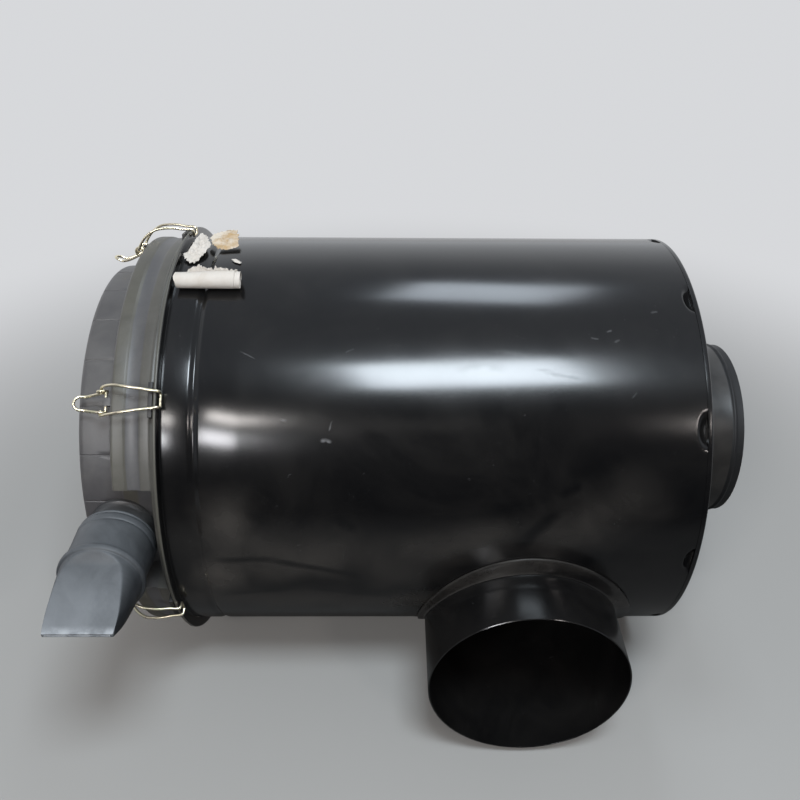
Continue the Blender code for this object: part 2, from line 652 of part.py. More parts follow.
def bail_mesh(name, angle, looks):
    """Bowed wire from the eyes, over the band and the joint ring, to the hook behind the ring."""
    _, _, pin = clip_points()
    hook = FLANGE_THICKNESS + HOOK_CLEAR + WIRE_RADIUS
    wide, waist, narrow = BAIL_HALF_WIDTH, BAIL_WAIST_HALF_WIDTH, BAIL_END_HALF_WIDTH
    stub = EYE_OFFSET - WIRE_RADIUS - WIRE_RADIUS / 2
    step = COVER_STEP_STATION
    rise = BAIL_CREST_RADIUS - BODY_RADIUS
    start, low, middle, high = (
        (-step * climb, BODY_RADIUS + rise * share)
        for climb, share in zip(BAIL_CLIMB_SHARES, BAIL_RISE_SHARES)
    )
    bend = 2 * WIRE_RADIUS
    points = [
        Vector((pin[0], pin[1], wide - bend)),
        Vector((pin[0] + bend / 4, pin[1] + bend / 2, wide)),
        Vector((*start, (wide + waist) / 2)),
        Vector((*low, waist)),
        Vector((*middle, (waist + narrow) / 2)),
        Vector((*high, (waist + 3 * narrow) / 4)),
        Vector((hook - bend, BAIL_CREST_RADIUS, narrow + bend / 4)),
        Vector((hook, BAIL_CREST_RADIUS - bend, narrow)),
        Vector((hook, BAIL_HOOK_RADIUS, narrow - bend / 2)),
    ]
    run = [Vector((pin[0], pin[1], stub))] + smooth_path(points, 2)
    full = run + [Vector((p.x, p.y, -p.z)) for p in reversed(run)]
    return wire(name, [at(p.x, p.y, angle, p.z) for p in full], looks["bail"])


def build_clips(looks):
    """Six wire clips with their lugs on the cover and keepers at the joint ring."""
    pivot, _, pin = clip_points()
    hole = WIRE_RADIUS + LUG_CLEAR
    wall = hole + LUG_WALL
    step = -COVER_STEP_STATION - GAP
    low = BOWL_RADIUS + COVER_STEP_ROUND
    top = BODY_RADIUS - COVER_STEP_ROUND
    for k in range(CLIP_COUNT):
        angle = CLIP_ANGLE + 2 * math.pi * k / CLIP_COUNT
        tag = str(k + 1)
        lug = [
            (step, pivot[1] - wall), (pivot[0] - hole, pivot[1] - wall), (pivot[0] - hole, pivot[1] - hole),
            (step - GAP, pivot[1] - hole), (step - GAP, pivot[1] + hole), (pivot[0] - hole, pivot[1] + hole),
            (pivot[0] - hole, min(pivot[1] + wall, top)), (step, min(pivot[1] + wall, top)),
        ]
        prism("clip_lug_" + tag, lug, LUG_HALF_WIDTH, angle, looks["lug"])
        keeper_low = BODY_RADIUS + KEEPER_CLEAR
        keeper_top = BAIL_CREST_RADIUS - WIRE_RADIUS - 2 * KEEPER_CLEAR
        prism("keeper_" + tag, [
            (-GAP, keeper_low), (-GAP, keeper_top), (-GAP - KEEPER_THICKNESS, keeper_top),
            (-GAP - KEEPER_THICKNESS, keeper_low),
        ], KEEPER_HALF_WIDTH, angle, looks["keeper"])
        hang(lever_mesh("clip_lever_" + tag, angle, looks), at(*pivot, angle))
        hang(bail_mesh("clip_bail_" + tag, angle, looks), at(*pin, angle))


def build_label(looks):
    """What is left of a torn paper label: a curled strip that lies on the shell."""
    rings = []
    lift = BODY_RADIUS + GAP + CURL_RADIUS
    for k in range(2):
        station = CURL_START + CURL_LENGTH * k
        ring = []
        for radius, order in ((CURL_RADIUS, 1), (CURL_RADIUS - CURL_PAPER, -1)):
            for m in range(CURL_STEPS + 1)[::order]:
                turn = -math.pi / 2 + CURL_TURN * m / CURL_STEPS
                ring.append(at(
                    station, lift + radius * math.sin(turn), CURL_ANGLE, radius * math.cos(turn),
                ))
        rings.append(ring)
    loft("label_curl", rings, looks["label"])


def main():
    """Build every piece."""
    clear_scene()
    black = (0.012, 0.012, 0.013)
    looks = {
        "shell": material("shell_paint", black, 0.28),
        "flange": material("flange_paint", black, 0.32),
        "end_plate": material("plate_paint", black, 0.3),
        "outlet": material("outlet_paint", black, 0.3),
        "inlet": material("inlet_paint", black, 0.3),
        "collar": material("collar_paint", black, 0.3),
        "element": material("filter_paper", (0.42, 0.36, 0.22), 0.9),
        "element_cap": material("cap_rubber", (0.02, 0.02, 0.022), 0.8),
        "sleeve": material("sleeve_paint", black, 0.4),
        "cover": material("cover_plastic", (0.055, 0.05, 0.048), 0.5),
        "gasket": material("gasket_rubber", (0.02, 0.02, 0.02), 0.85),
        "valve": material("valve_rubber", (0.05, 0.06, 0.072), 0.62),
        "lug": material("lug_plastic", (0.03, 0.028, 0.028), 0.5),
        "keeper": material("keeper_paint", (0.014, 0.014, 0.015), 0.4),
        "lever": material("lever_zinc", (0.62, 0.52, 0.27), 0.32, 1.0),
        "bail": material("bail_zinc", (0.62, 0.52, 0.27), 0.32, 1.0),
        "label": material("label_paper", (0.76, 0.72, 0.66), 0.8),
    }
    build_housing(looks)
    build_inlet(looks)
    build_filter(looks)
    build_cover(looks)
    build_clips(looks)
    build_label(looks)


main()
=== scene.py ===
"""Air cleaner housing lying on its side: its visual pieces, finishes, light and camera.

Lengths are in metres, and the steps given to offsets are in millimetres. A station is a distance
along the housing's axis from the cover's joint towards the outlet, and an angle round the axis is
zero at -Y and grows towards +Z.
"""

import json
import logging
import math
from dataclasses import dataclass, field
from enum import Enum
from typing import Sequence

import bmesh
import bpy
from mathutils import Euler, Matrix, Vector, noise

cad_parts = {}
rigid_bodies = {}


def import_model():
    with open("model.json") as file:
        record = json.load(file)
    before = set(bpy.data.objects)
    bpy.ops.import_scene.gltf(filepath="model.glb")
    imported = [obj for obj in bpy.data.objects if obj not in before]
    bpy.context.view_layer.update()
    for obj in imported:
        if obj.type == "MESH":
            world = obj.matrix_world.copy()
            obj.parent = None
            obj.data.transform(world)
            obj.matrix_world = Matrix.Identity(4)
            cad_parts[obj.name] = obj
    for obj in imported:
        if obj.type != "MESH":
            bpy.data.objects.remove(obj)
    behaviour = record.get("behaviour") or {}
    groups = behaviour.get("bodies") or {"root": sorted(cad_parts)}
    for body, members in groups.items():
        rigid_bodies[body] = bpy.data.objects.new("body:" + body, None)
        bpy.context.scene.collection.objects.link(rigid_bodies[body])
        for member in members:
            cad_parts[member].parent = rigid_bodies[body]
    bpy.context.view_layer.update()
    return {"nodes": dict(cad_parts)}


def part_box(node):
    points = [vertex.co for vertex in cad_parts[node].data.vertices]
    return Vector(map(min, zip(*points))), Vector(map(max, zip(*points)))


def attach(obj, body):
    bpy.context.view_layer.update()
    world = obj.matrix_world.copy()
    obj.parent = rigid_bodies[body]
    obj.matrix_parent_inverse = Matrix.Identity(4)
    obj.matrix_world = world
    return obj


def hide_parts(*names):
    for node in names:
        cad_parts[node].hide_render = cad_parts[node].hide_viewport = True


LOG = logging.getLogger("housing")
FULL_TURN = 2 * math.pi
QUARTER = math.pi / 2
GAP = 0.0003

Colour = tuple[float, float, float]
Place = tuple[float, ...]
Material = bpy.types.Material


# ---- placing ----


@dataclass(frozen=True)
class Axis:
    """The housing's own directions."""

    joint: float
    y: float
    z: float

    @classmethod
    def of_frame(cls) -> "Axis":
        """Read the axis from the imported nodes.

        Returns:
            The axis through the outlet, with its zero at the shell's joint end.
        """
        low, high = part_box("outlet_tube")
        shell_low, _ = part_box("body_shell")
        return cls(shell_low.x, (low.y + high.y) / 2, (low.z + high.z) / 2)

    def at(self, station: float, radius: float, angle: float, side: float = 0.0) -> Vector:
        """Find a point round the axis.

        Args:
            station: Distance along the axis from the joint.
            radius: Distance from the axis.
            angle: Turn round the axis from -Y towards +Z.
            side: Step sideways, along the way the angle grows.

        Returns:
            The point in the frame.
        """
        cos, sin = math.cos(angle), math.sin(angle)
        return Vector((
            self.joint + station,
            self.y + side * sin - radius * cos,
            self.z + side * cos + radius * sin,
        ))


def shares(steps: int) -> list[float]:
    """Equal steps from 0 to 1, both ends included."""
    return [k / steps for k in range(steps + 1)]


def even_turns(count: int) -> list[float]:
    """Angles of a full turn in equal steps."""
    return [FULL_TURN * k / count for k in range(count)]


def hump(share: float) -> float:
    """Smooth pressed shape: 0 at both ends and 1 halfway."""
    return (1 - math.cos(FULL_TURN * share)) / 2


def rise(value: float, low: float, high: float) -> float:
    """Smooth step from 0 at low to 1 at high."""
    share = max(0.0, min(1.0, (value - low) / (high - low)))
    return share * share * (3 - 2 * share)


def astray(angle: float, centre: float, pitch: float) -> float:
    """Turn to an angle from the nearest of the places that a pitch spaces out from a centre."""
    return (angle - centre + pitch / 2) % pitch - pitch / 2


def rough(*place: float) -> float:
    """Smooth noise between -1 and 1 at a place."""
    return noise.noise(Vector(place))


def offsets(place: Place, *steps: Place) -> list[Place]:
    """Places that lie some steps in millimetres away from a place."""
    return [tuple(start + step / 1000 for start, step in zip(place, away)) for away in steps]


def arc(station: float, radius: float, reach: float, start: float, end: float, steps: int) -> list[Place]:
    """Lay points along an arc.

    Args:
        station: Station of its centre.
        radius: Radius of its centre.
        reach: Its own radius.
        start: First angle, from outward towards the outlet.
        end: Last angle.
        steps: Number of steps.

    Returns:
        Points as (station, radius).
    """
    turns = [start + (end - start) * share for share in shares(steps)]
    return [(station + reach * math.sin(a), radius + reach * math.cos(a)) for a in turns]


def through(points: Sequence[Vector], steps: int) -> list[Vector]:
    """Run a smooth curve through some points.

    Args:
        points: Points of the curve.
        steps: Pieces that each stretch between two points is cut into.

    Returns:
        Points along the curve.
    """
    out = []
    last = len(points) - 1
    for i in range(last):
        a, b, c, d = (points[max(0, min(last, i + k))] for k in (-1, 0, 1, 2))
        for t in shares(steps)[:-1]:
            start = 2 * b + (c - a) * t + (2 * a - 5 * b + 4 * c - d) * t * t
            out.append((start + (3 * b - a - 3 * c + d) * t * t * t) / 2)
    return out + [points[-1].copy()]


# ---- meshing ----


@dataclass
class Shape:
    """Points and faces of a piece in the making."""

    verts: list[Vector] = field(default_factory=list)
    faces: list[tuple[int, ...]] = field(default_factory=list)

    @classmethod
    def loop(cls, verts: list[Vector], columns: int) -> "Shape":
        """Rings in a row, the last of which joins the first."""
        shape = cls(verts)
        shape.weave(len(verts) // columns, columns, closed=True)
        return shape

    @classmethod
    def rod(cls, verts: list[Vector], columns: int) -> "Shape":
        """Join rings in a row and close both ends with a flat face.

        Args:
            verts: Points, ring by ring.
            columns: Points in a ring.

        Returns:
            The closed shape.
        """
        shape, last = cls(verts), len(verts) - columns
        shape.faces = [tuple(range(start, start + columns)) for start in (0, last)]
        shape.weave(last // columns + 1, columns)
        return shape

    @classmethod
    def turned(cls, axis: Axis, profile: Sequence[Place], columns: int) -> "Shape":
        """Turn a closed outline of (station, radius) round the axis."""
        return cls.loop([axis.at(*spot, turn) for spot in profile for turn in even_turns(columns)], columns)

    @classmethod
    def wire(cls, path: Sequence[Vector], radius: float, sides: int) -> "Shape":
        """Make a round wire with closed ends.

        Args:
            path: Points of its centre line.
            radius: Radius of the wire.
            sides: Points round it.

        Returns:
            The wire.
        """
        verts: list[Vector] = []
        last = len(path) - 1
        normal = (path[1] - path[0]).normalized().orthogonal().normalized()
        for i, point in enumerate(path):
            tangent = (path[min(i + 1, last)] - path[max(i - 1, 0)]).normalized()
            normal = (normal - normal.dot(tangent) * tangent).normalized()
            other = tangent.cross(normal)
            verts += [
                point + radius * (math.cos(turn) * normal + math.sin(turn) * other) for turn in even_turns(sides)
            ]
        return cls.rod(verts, sides)

    def join(self, first: int, second: int, count: int, ring: bool = True) -> None:
        """Join two rows of points with quads.

        Args:
            first: Index of the first row's first point.
            second: Index of the second row's first point.
            count: Points in a row.
            ring: Whether the rows are rings.
        """
        for k in range(count if ring else count - 1):
            n = (k + 1) % count
            self.faces.append((first + k, first + n, second + n, second + k))

    def weave(self, rows: int, columns: int, start: int = 0, closed: bool = False, ring: bool = True) -> None:
        """Join each row of points to the next.

        Args:
            rows: Number of rows.
            columns: Points in a row.
            start: Index of the first point.
            closed: Whether the last row joins the first.
            ring: Whether the rows are rings.
        """
        for row in range(rows if closed else rows - 1):
            self.join(start + row * columns, start + (row + 1) % rows * columns, columns, ring)

    def fan(self, centre: Vector, start: int, count: int) -> None:
        """Close a ring with triangles round a new point in its middle."""
        self.verts.append(centre)
        self.faces += [(len(self.verts) - 1, start + k, start + (k + 1) % count) for k in range(count)]

    def link(self, name: str, smooth: bool = True) -> bpy.types.Object:
        """Make an object whose faces look outward.

        Args:
            name: Name of the object.
            smooth: Whether its faces are shaded smooth.

        Returns:
            The new object.
        """
        mesh = bpy.data.meshes.new(name)
        mesh.from_pydata([tuple(v) for v in self.verts], [], self.faces)
        work = bmesh.new()
        work.from_mesh(mesh)
        bmesh.ops.recalc_face_normals(work, faces=work.faces)
        if work.calc_volume(signed=True) < 0:
            bmesh.ops.reverse_faces(work, faces=work.faces)
        for face in work.faces:
            face.smooth = smooth
        work.to_mesh(mesh)
        work.free()
        made = bpy.data.objects.new(name, mesh)
        bpy.context.scene.collection.objects.link(made)
        return made

    def rounded(self, edge: float) -> "Shape":
        """Round every edge.

        Args:
            edge: Radius of the rounding.

        Returns:
            The rounded shape.
        """
        work = bmesh.new()
        points = [work.verts.new(corner) for corner in self.verts]
        for face in self.faces:
            work.faces.new([points[k] for k in face])
        bmesh.ops.recalc_face_normals(work, faces=work.faces)
        bmesh.ops.bevel(
            work, geom=list(work.edges), offset=edge, segments=3, profile=0.5, affect="EDGES",
            clamp_overlap=True,
        )
        work.verts.ensure_lookup_table()
        faces = [tuple(vert.index for vert in face.verts) for face in work.faces]
        made = Shape([vert.co.copy() for vert in work.verts], faces)
        work.free()
        return made


def make_piece(
    name: str, shape: Shape, finish: Material, slot: str, *nodes: str, body: str = "housing", sharp: float = 0.7,
) -> bpy.types.Object:
    """Turn a shape into a shaded piece that rides on the frame.

    Args:
        name: Name of the piece.
        shape: Its points and faces.
        finish: Its material.
        slot: Slot that its finish belongs to; not used.
        *nodes: Nodes that it stands for.
        body: Body that it rides on.
        sharp: Angle in radians from which an edge is shaded sharp.

    Returns:
        The new object.
    """
    made = shape.link(name)
    made.data.materials.append(finish)
    made.data.set_sharp_from_angle(angle=sharp)
    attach(made, body)
    if nodes:
        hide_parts(*nodes)
    LOG.info("%s: %d faces on %s", name, len(made.data.polygons), body)
    return made


# ---- shader trees ----


class Value:
    """Output of a shader node that can be reckoned with like a number."""

    def __init__(self, tree: "Tree", socket: bpy.types.NodeSocket) -> None:
        """Keep the socket and its tree."""
        self.tree, self.socket = tree, socket

    def __add__(self, other: "Value | float") -> "Value":
        """Sum of both."""
        return self.tree.math("ADD", self, other)

    def __sub__(self, other: "Value | float") -> "Value":
        """This less the other."""
        return self.tree.math("SUBTRACT", self, other)

    def __rsub__(self, other: float) -> "Value":
        """A number less this."""
        return self.tree.math("SUBTRACT", other, self)

    def __mul__(self, other: "Value | float") -> "Value":
        """Product of both."""
        return self.tree.math("MULTIPLY", self, other)

    def __truediv__(self, other: "Value | float") -> "Value":
        """This divided by the other."""
        return self.tree.math("DIVIDE", self, other)

    def clamped(self) -> "Value":
        """This value held between 0 and 1."""
        self.socket.node.use_clamp = True
        return self

    def band(self, low: float, high: float, start: float = 0.0, end: float = 1.0) -> "Value":
        """Smooth change from start to end while this goes from low to high."""
        limits = {"Value": self, "From Min": low, "From Max": high, "To Min": start, "To Max": end}
        return self.tree.add("ShaderNodeMapRange", limits, interpolation_type="SMOOTHSTEP")


class Effect(Enum):
    """Surface effects that several finishes share, as shader node groups."""

    FILM = "dust_film"
    SCRATCHES = "fine_scratches"
    SMEARS = "wiped_smears"
    SKIN = "surface_skin"
    STROKE = "single_mark"


class Tree:
    """Short ways to add shader nodes to one node tree and to join them."""

    def __init__(self, tree: bpy.types.NodeTree) -> None:
        """Keep the node tree that is filled."""
        self.tree = tree

    def join(self, value: object, socket: bpy.types.NodeSocket) -> None:
        """Join a value to a socket, or set the socket to a plain number or colour.

        Args:
            value: What goes in.
            socket: Where it goes.
        """
        if isinstance(value, Value):
            self.tree.links.new(value.socket, socket)
        elif socket.type == "RGBA":
            socket.default_value = (*value, 1.0)
        else:
            socket.default_value = value

    def node(self, kind: str, values: dict | None = None, **settings: object) -> bpy.types.Node:
        """Add a node.

        Args:
            kind: The node's type.
            values: What goes into its sockets, by name or number.
            **settings: Properties of the node.

        Returns:
            The node.
        """
        node = self.tree.nodes.new(kind)
        for key, value in settings.items():
            setattr(node, key, value)
        for key, value in (values or {}).items():
            self.join(value, node.inputs[key])
        return node

    def add(self, kind: str, values: dict | None = None, out: int | str = 0, **settings: object) -> Value:
        """Output of a new node."""
        return Value(self, self.node(kind, values, **settings).outputs[out])

    def split(self, vector: Value) -> list[Value]:
        """The three parts of a vector."""
        return [Value(self, socket) for socket in self.node("ShaderNodeSeparateXYZ", {0: vector}).outputs]

    def math(self, kind: str, first: object, second: object = 0.0) -> Value:
        """Result of a Math node of that kind."""
        return self.add("ShaderNodeMath", {0: first, 1: second}, operation=kind)

    def mix(self, share: Value, first: object, second: object) -> Value:
        """Mixed colour, from the first at share 0 to the second at share 1."""
        return self.add("ShaderNodeMix", {0: share, 6: first, 7: second}, 2, data_type="RGBA")

    def cloud(
        self, vector: Value, scale: object, detail: float = 4.0, roughness: float = 0.5, distortion: float = 0.0,
    ) -> Value:
        """Value of a Noise texture."""
        names = ("Vector", "Scale", "Detail", "Roughness", "Distortion")
        return self.add("ShaderNodeTexNoise", dict(zip(names, (vector, scale, detail, roughness, distortion))))

    def stretched(self, vector: Value, scale: Place, turn: Place) -> Value:
        """Coordinates turned and then scaled apart along each direction."""
        turned = self.add("ShaderNodeMapping", {"Vector": vector, "Rotation": turn})
        return self.add("ShaderNodeMapping", {"Vector": turned, "Scale": scale})

    def up(self) -> Value:
        """How far the surface looks up, from -1 to 1."""
        return self.split(self.add("ShaderNodeNewGeometry", out="Normal"))[2]

    def ray(self, kind: str) -> Value:
        """1 for rays of one kind."""
        return self.add("ShaderNodeLightPath", out=f"Is {kind} Ray")

    def seen(self) -> Value:
        """1 for rays of the camera, of gloss and through clear things."""
        unseen = self.math("MAXIMUM", self.ray("Glossy"), self.ray("Transmission"))
        return self.math("MAXIMUM", self.ray("Camera"), unseen)

    def effect(self, effect: Effect, **inputs: object) -> dict[str, Value]:
        """Place a shared effect.

        Args:
            effect: The effect.
            **inputs: What goes into its sockets, by their names in small letters.

        Returns:
            Its outputs by name.
        """
        values = {key.replace("_", " ").title(): value for key, value in inputs.items()}
        node = self.node("ShaderNodeGroup", values, node_tree=bpy.data.node_groups[effect.value])
        return {socket.name: Value(self, socket) for socket in node.outputs}


class Group(Tree):
    """Node group of a shared effect."""

    SOCKETS = {"Vector": "Vector", "Centre": "Vector", "Color": "Color", "Dust": "Color"}

    def __init__(self, effect: Effect, inputs: Sequence[str], outputs: Sequence[str] = ("Mask",)) -> None:
        """Make the group with its sockets.

        Args:
            effect: The effect.
            inputs: Names of what goes in.
            outputs: Names of what comes out.
        """
        super().__init__(bpy.data.node_groups.new(effect.value, "ShaderNodeTree"))
        for names, way in ((inputs, "INPUT"), (outputs, "OUTPUT")):
            for name in names:
                kind = "NodeSocket" + self.SOCKETS.get(name, "Float")
                self.tree.interface.new_socket(name=name, in_out=way, socket_type=kind)
        entry, self.end = self.node("NodeGroupInput"), self.node("NodeGroupOutput")
        self.given = {name: Value(self, entry.outputs[name]) for name in inputs}

    def give(self, **values: Value) -> None:
        """Send values out of the group."""
        for name, value in values.items():
            self.join(value, self.end.inputs[name])


class Effects:
    """Builds the node group of each shared effect."""

    @staticmethod
    def film() -> None:
        """Dust that gathers in patches, thicker on faces that look up."""
        tree = Group(Effect.FILM, ("Vector", "Color", "Dust", "Amount", "Scale", "Settle"), ("Color", "Mask"))
        given = tree.given
        coarse = tree.cloud(given["Vector"], given["Scale"], 6.0, 0.62, 0.6)
        grain = tree.cloud(given["Vector"], 900.0, 2.0, 0.6)
        patches = coarse.band(0.3, 0.72) * grain.band(0.2, 0.8, 0.7, 1.15)
        facing = tree.up().band(-0.2, 1.0) * given["Settle"]
        mask = ((patches + facing * coarse.band(0.1, 0.6, 0.5, 1.0)) * given["Amount"]).clamped()
        tree.give(Mask=mask, Color=tree.mix(mask, given["Color"], given["Dust"]))

    @staticmethod
    def scratches() -> None:
        """Sparse thin lines in two directions, broken along their length."""
        tree = Group(Effect.SCRATCHES, ("Vector", "Scale", "Amount"))
        given = tree.given
        values = {0: given["Vector"], "Scale": given["Scale"]}
        scaled = tree.add("ShaderNodeVectorMath", values, operation="SCALE")
        lines = []
        for turn, stretch in (((0.2, 0.5, 0.15), (1.2, 26.0, 26.0)), ((0.9, -0.3, -0.5), (24.0, 1.5, 24.0))):
            fine = tree.cloud(tree.stretched(scaled, stretch, turn), 3.0, 3.0, 0.7)
            broken = tree.cloud(scaled, 4.0 + turn[0], 3.0, 0.6)
            lines.append(fine.band(0.66, 0.74) * broken.band(0.56, 0.7))
        tree.give(Mask=(tree.math("MAXIMUM", *lines) * given["Amount"]).clamped())

    @staticmethod
    def smears() -> None:
        """Broad wiped patches with darker strokes through them."""
        tree = Group(Effect.SMEARS, ("Vector", "Scale", "Amount"))
        given = tree.given
        broad = tree.cloud(given["Vector"], given["Scale"], 5.0, 0.6, 1.4)
        slanted = tree.stretched(given["Vector"], (1.0, 2.6, 1.2), (0.4, 0.5, 0.7))
        strokes = tree.cloud(slanted, given["Scale"], 4.0, 0.5, 0.8).band(0.3, 0.62, 0.35, 1.0)
        tree.give(Mask=(broad.band(0.34, 0.64) * strokes * given["Amount"]).clamped())

    @staticmethod
    def skin() -> None:
        """Height of a coated or moulded skin: slow waves and a fine grain, in metres."""
        tree = Group(Effect.SKIN, ("Vector", "Wave Scale", "Wave", "Grain Scale", "Grain"), ("Height",))
        given = tree.given
        wave = tree.cloud(given["Vector"], given["Wave Scale"], 2.0, 0.4)
        grain = tree.cloud(given["Vector"], given["Grain Scale"], 3.0, 0.5)
        tree.give(Height=wave * given["Wave"] + grain * given["Grain"])

    @staticmethod
    def stroke() -> None:
        """One soft mark, bowed along its length, on a surface laid out flat in X and Y."""
        tree = Group(Effect.STROKE, (
            "Vector", "Centre", "Cos", "Sin", "Length", "Width", "Bow", "Strength", "Fray", "Gaps", "Scale",
        ))
        given = tree.given
        off = {0: given["Vector"], 1: given["Centre"]}
        x, y, _ = tree.split(tree.add("ShaderNodeVectorMath", off, operation="SUBTRACT"))
        uneven = tree.cloud(given["Vector"], given["Scale"], 4.0, 0.5) - 0.5
        across = y * given["Cos"] - x * given["Sin"]
        share = (x * given["Cos"] + y * given["Sin"]) / given["Length"]
        frayed = across + given["Bow"] * (share * share) + uneven * given["Width"] * given["Fray"]
        near = tree.math("ABSOLUTE", frayed / given["Width"])
        mask = near.band(0.0, 1.0, 1.0, 0.0) * tree.math("ABSOLUTE", share).band(0.35, 1.0, 1.0, 0.0)
        gaps = uneven.band(-0.2, 0.12, 1.0, 0.0) * given["Gaps"]
        tree.give(Mask=(mask * (1 - gaps) * given["Strength"]).clamped())

    @classmethod
    def build(cls) -> None:
        """Build every group."""
        for make in (cls.film, cls.scratches, cls.smears, cls.skin, cls.stroke):
            make()


class Surface(Tree):
    """A material's tree with its shader and coordinates."""

    def __init__(self, name: str, specular: float = 0.5, metallic: float = 0.0) -> None:
        """Start the material.

        Args:
            name: Its name.
            specular: Specular level of its shader.
            metallic: Metallic value of its shader.
        """
        self.made = bpy.data.materials.new(name)
        self.made.use_nodes = True
        super().__init__(self.made.node_tree)
        self.shader = self.tree.nodes["Principled BSDF"]
        self.join(specular, self.shader.inputs["Specular IOR Level"])
        self.join(metallic, self.shader.inputs["Metallic"])
        self.where = self.add("ShaderNodeTexCoord", out="Object")

    def effect(self, effect: Effect, **inputs: object) -> dict[str, Value]:
        """A shared effect in the material's own coordinates, unless others are given."""
        return super().effect(effect, **{"vector": self.where, **inputs})

    def finish(self, colour: Value, roughness: Value, height: Value | None = None) -> Material:
        """Join the last colour, roughness and height to the shader.

        Args:
            colour: The colour.
            roughness: The roughness.
            height: The height in metres, or None.

        Returns:
            The material.
        """
        self.join(colour, self.shader.inputs["Base Color"])
        self.join(roughness, self.shader.inputs["Roughness"])
        if height is not None:
            bump = self.add("ShaderNodeBump", {"Strength": 1.0, "Distance": 1.0, "Height": height})
            self.join(bump, self.shader.inputs["Normal"])
        return self.made


# ---- finishes ----


class Trace(Enum):
    """What a single mark does to the paint."""

    PALE = "rubbed through to a pale line"
    DUSTY = "dust left on it"
    CLEAN = "dust wiped off it"
    DULL = "gloss rubbed off it"


@dataclass(frozen=True)
class Mark:
    """One mark on the drum: place along it, angle round it, lean from its axis, half length and width."""

    trace: Trace
    station: float
    turn: float
    lean: float
    length: float
    width: float
    bow: float = 0.0
    strength: float = 1.0

DRUM_MARKS = (
    Mark(Trace.DUSTY, 0.0580, 3.0, -95, 0.085, 0.042, 0.0, 0.95),
    Mark(Trace.DUSTY, 0.1450, 0.0, -4, 0.170, 0.048, -0.008, 0.60),
    Mark(Trace.DUSTY, 0.1900, -19.0, -3, 0.300, 0.036, 0.0, 0.40),
    Mark(Trace.DUSTY, 0.2767, 4.0, 12, 0.100, 0.036, 0.0, 0.60),
    Mark(Trace.DUSTY, 0.4150, 12.0, 30, 0.100, 0.050, 0.0, 0.50),
    Mark(Trace.DUSTY, 0.2300, 36.0, 2, 0.120, 0.014, 0.0, 0.12),
    Mark(Trace.CLEAN, 0.0811, -0.2, 2, 0.040, 0.0060, 0.0, 0.60),
    Mark(Trace.CLEAN, 0.1480, -3.2, -17, 0.070, 0.0062, 0.003, 0.62),
    Mark(Trace.CLEAN, 0.0908, -13.3, 10, 0.055, 0.0058, 0.004, 0.60),
    Mark(Trace.CLEAN, 0.1778, -13.9, -11, 0.060, 0.0058, -0.003, 0.60),
    Mark(Trace.CLEAN, 0.1791, 10.8, -31, 0.016, 0.009, 0.0, 0.9),
    Mark(Trace.CLEAN, 0.3669, 9.7, 52, 0.036, 0.011, 0.004, 0.9),
    Mark(Trace.CLEAN, 0.3956, 20.3, 29, 0.016, 0.008, 0.0, 0.8),
    Mark(Trace.CLEAN, 0.4232, -0.4, 38, 0.020, 0.012, 0.0, 0.9),
    Mark(Trace.PALE, 0.1618, 32.5, -11, 0.0064, 0.0022, 0.0, 0.42),
    Mark(Trace.PALE, 0.0856, 53.7, -28, 0.0110, 0.0010, 0.001, 0.20),
    Mark(Trace.PALE, 0.1842, 54.9, 22, 0.0060, 0.0012, 0.0, 0.22),
    Mark(Trace.PALE, 0.1215, 37.5, -22, 0.0038, 0.0012, 0.0, 0.32),
    Mark(Trace.PALE, 0.1661, 36.1, 70, 0.0060, 0.0011, 0.0, 0.30),
    Mark(Trace.PALE, 0.4226, 58.7, -13, 0.0050, 0.0014, 0.0, 0.15),
    Mark(Trace.PALE, 0.4439, 57.8, 28, 0.0040, 0.0016, 0.0, 0.18),
    Mark(Trace.PALE, 0.4372, 60.7, 35, 0.0036, 0.0016, 0.0, 0.20),
    Mark(Trace.PALE, 0.4851, 66.5, 17, 0.0046, 0.0018, 0.0, 0.16),
    Mark(Trace.PALE, 0.4570, 43.8, 44, 0.0050, 0.0010, 0.0, 0.16),
    Mark(Trace.DULL, 0.3410, 54.6, -12, 0.0200, 0.0026, 0.002, 0.22),
    Mark(Trace.DULL, 0.3716, 50.0, -6, 0.0120, 0.0022, 0.001, 0.20),
    Mark(Trace.DULL, 0.3881, 48.5, -10, 0.0220, 0.0030, -0.002, 0.24),
    Mark(Trace.DULL, 0.3100, 51.0, 4, 0.0300, 0.0060, 0.003, 0.16),
    Mark(Trace.DULL, 0.3300, -16.0, 0, 0.1400, 0.0400, 0.0, 0.80),
)


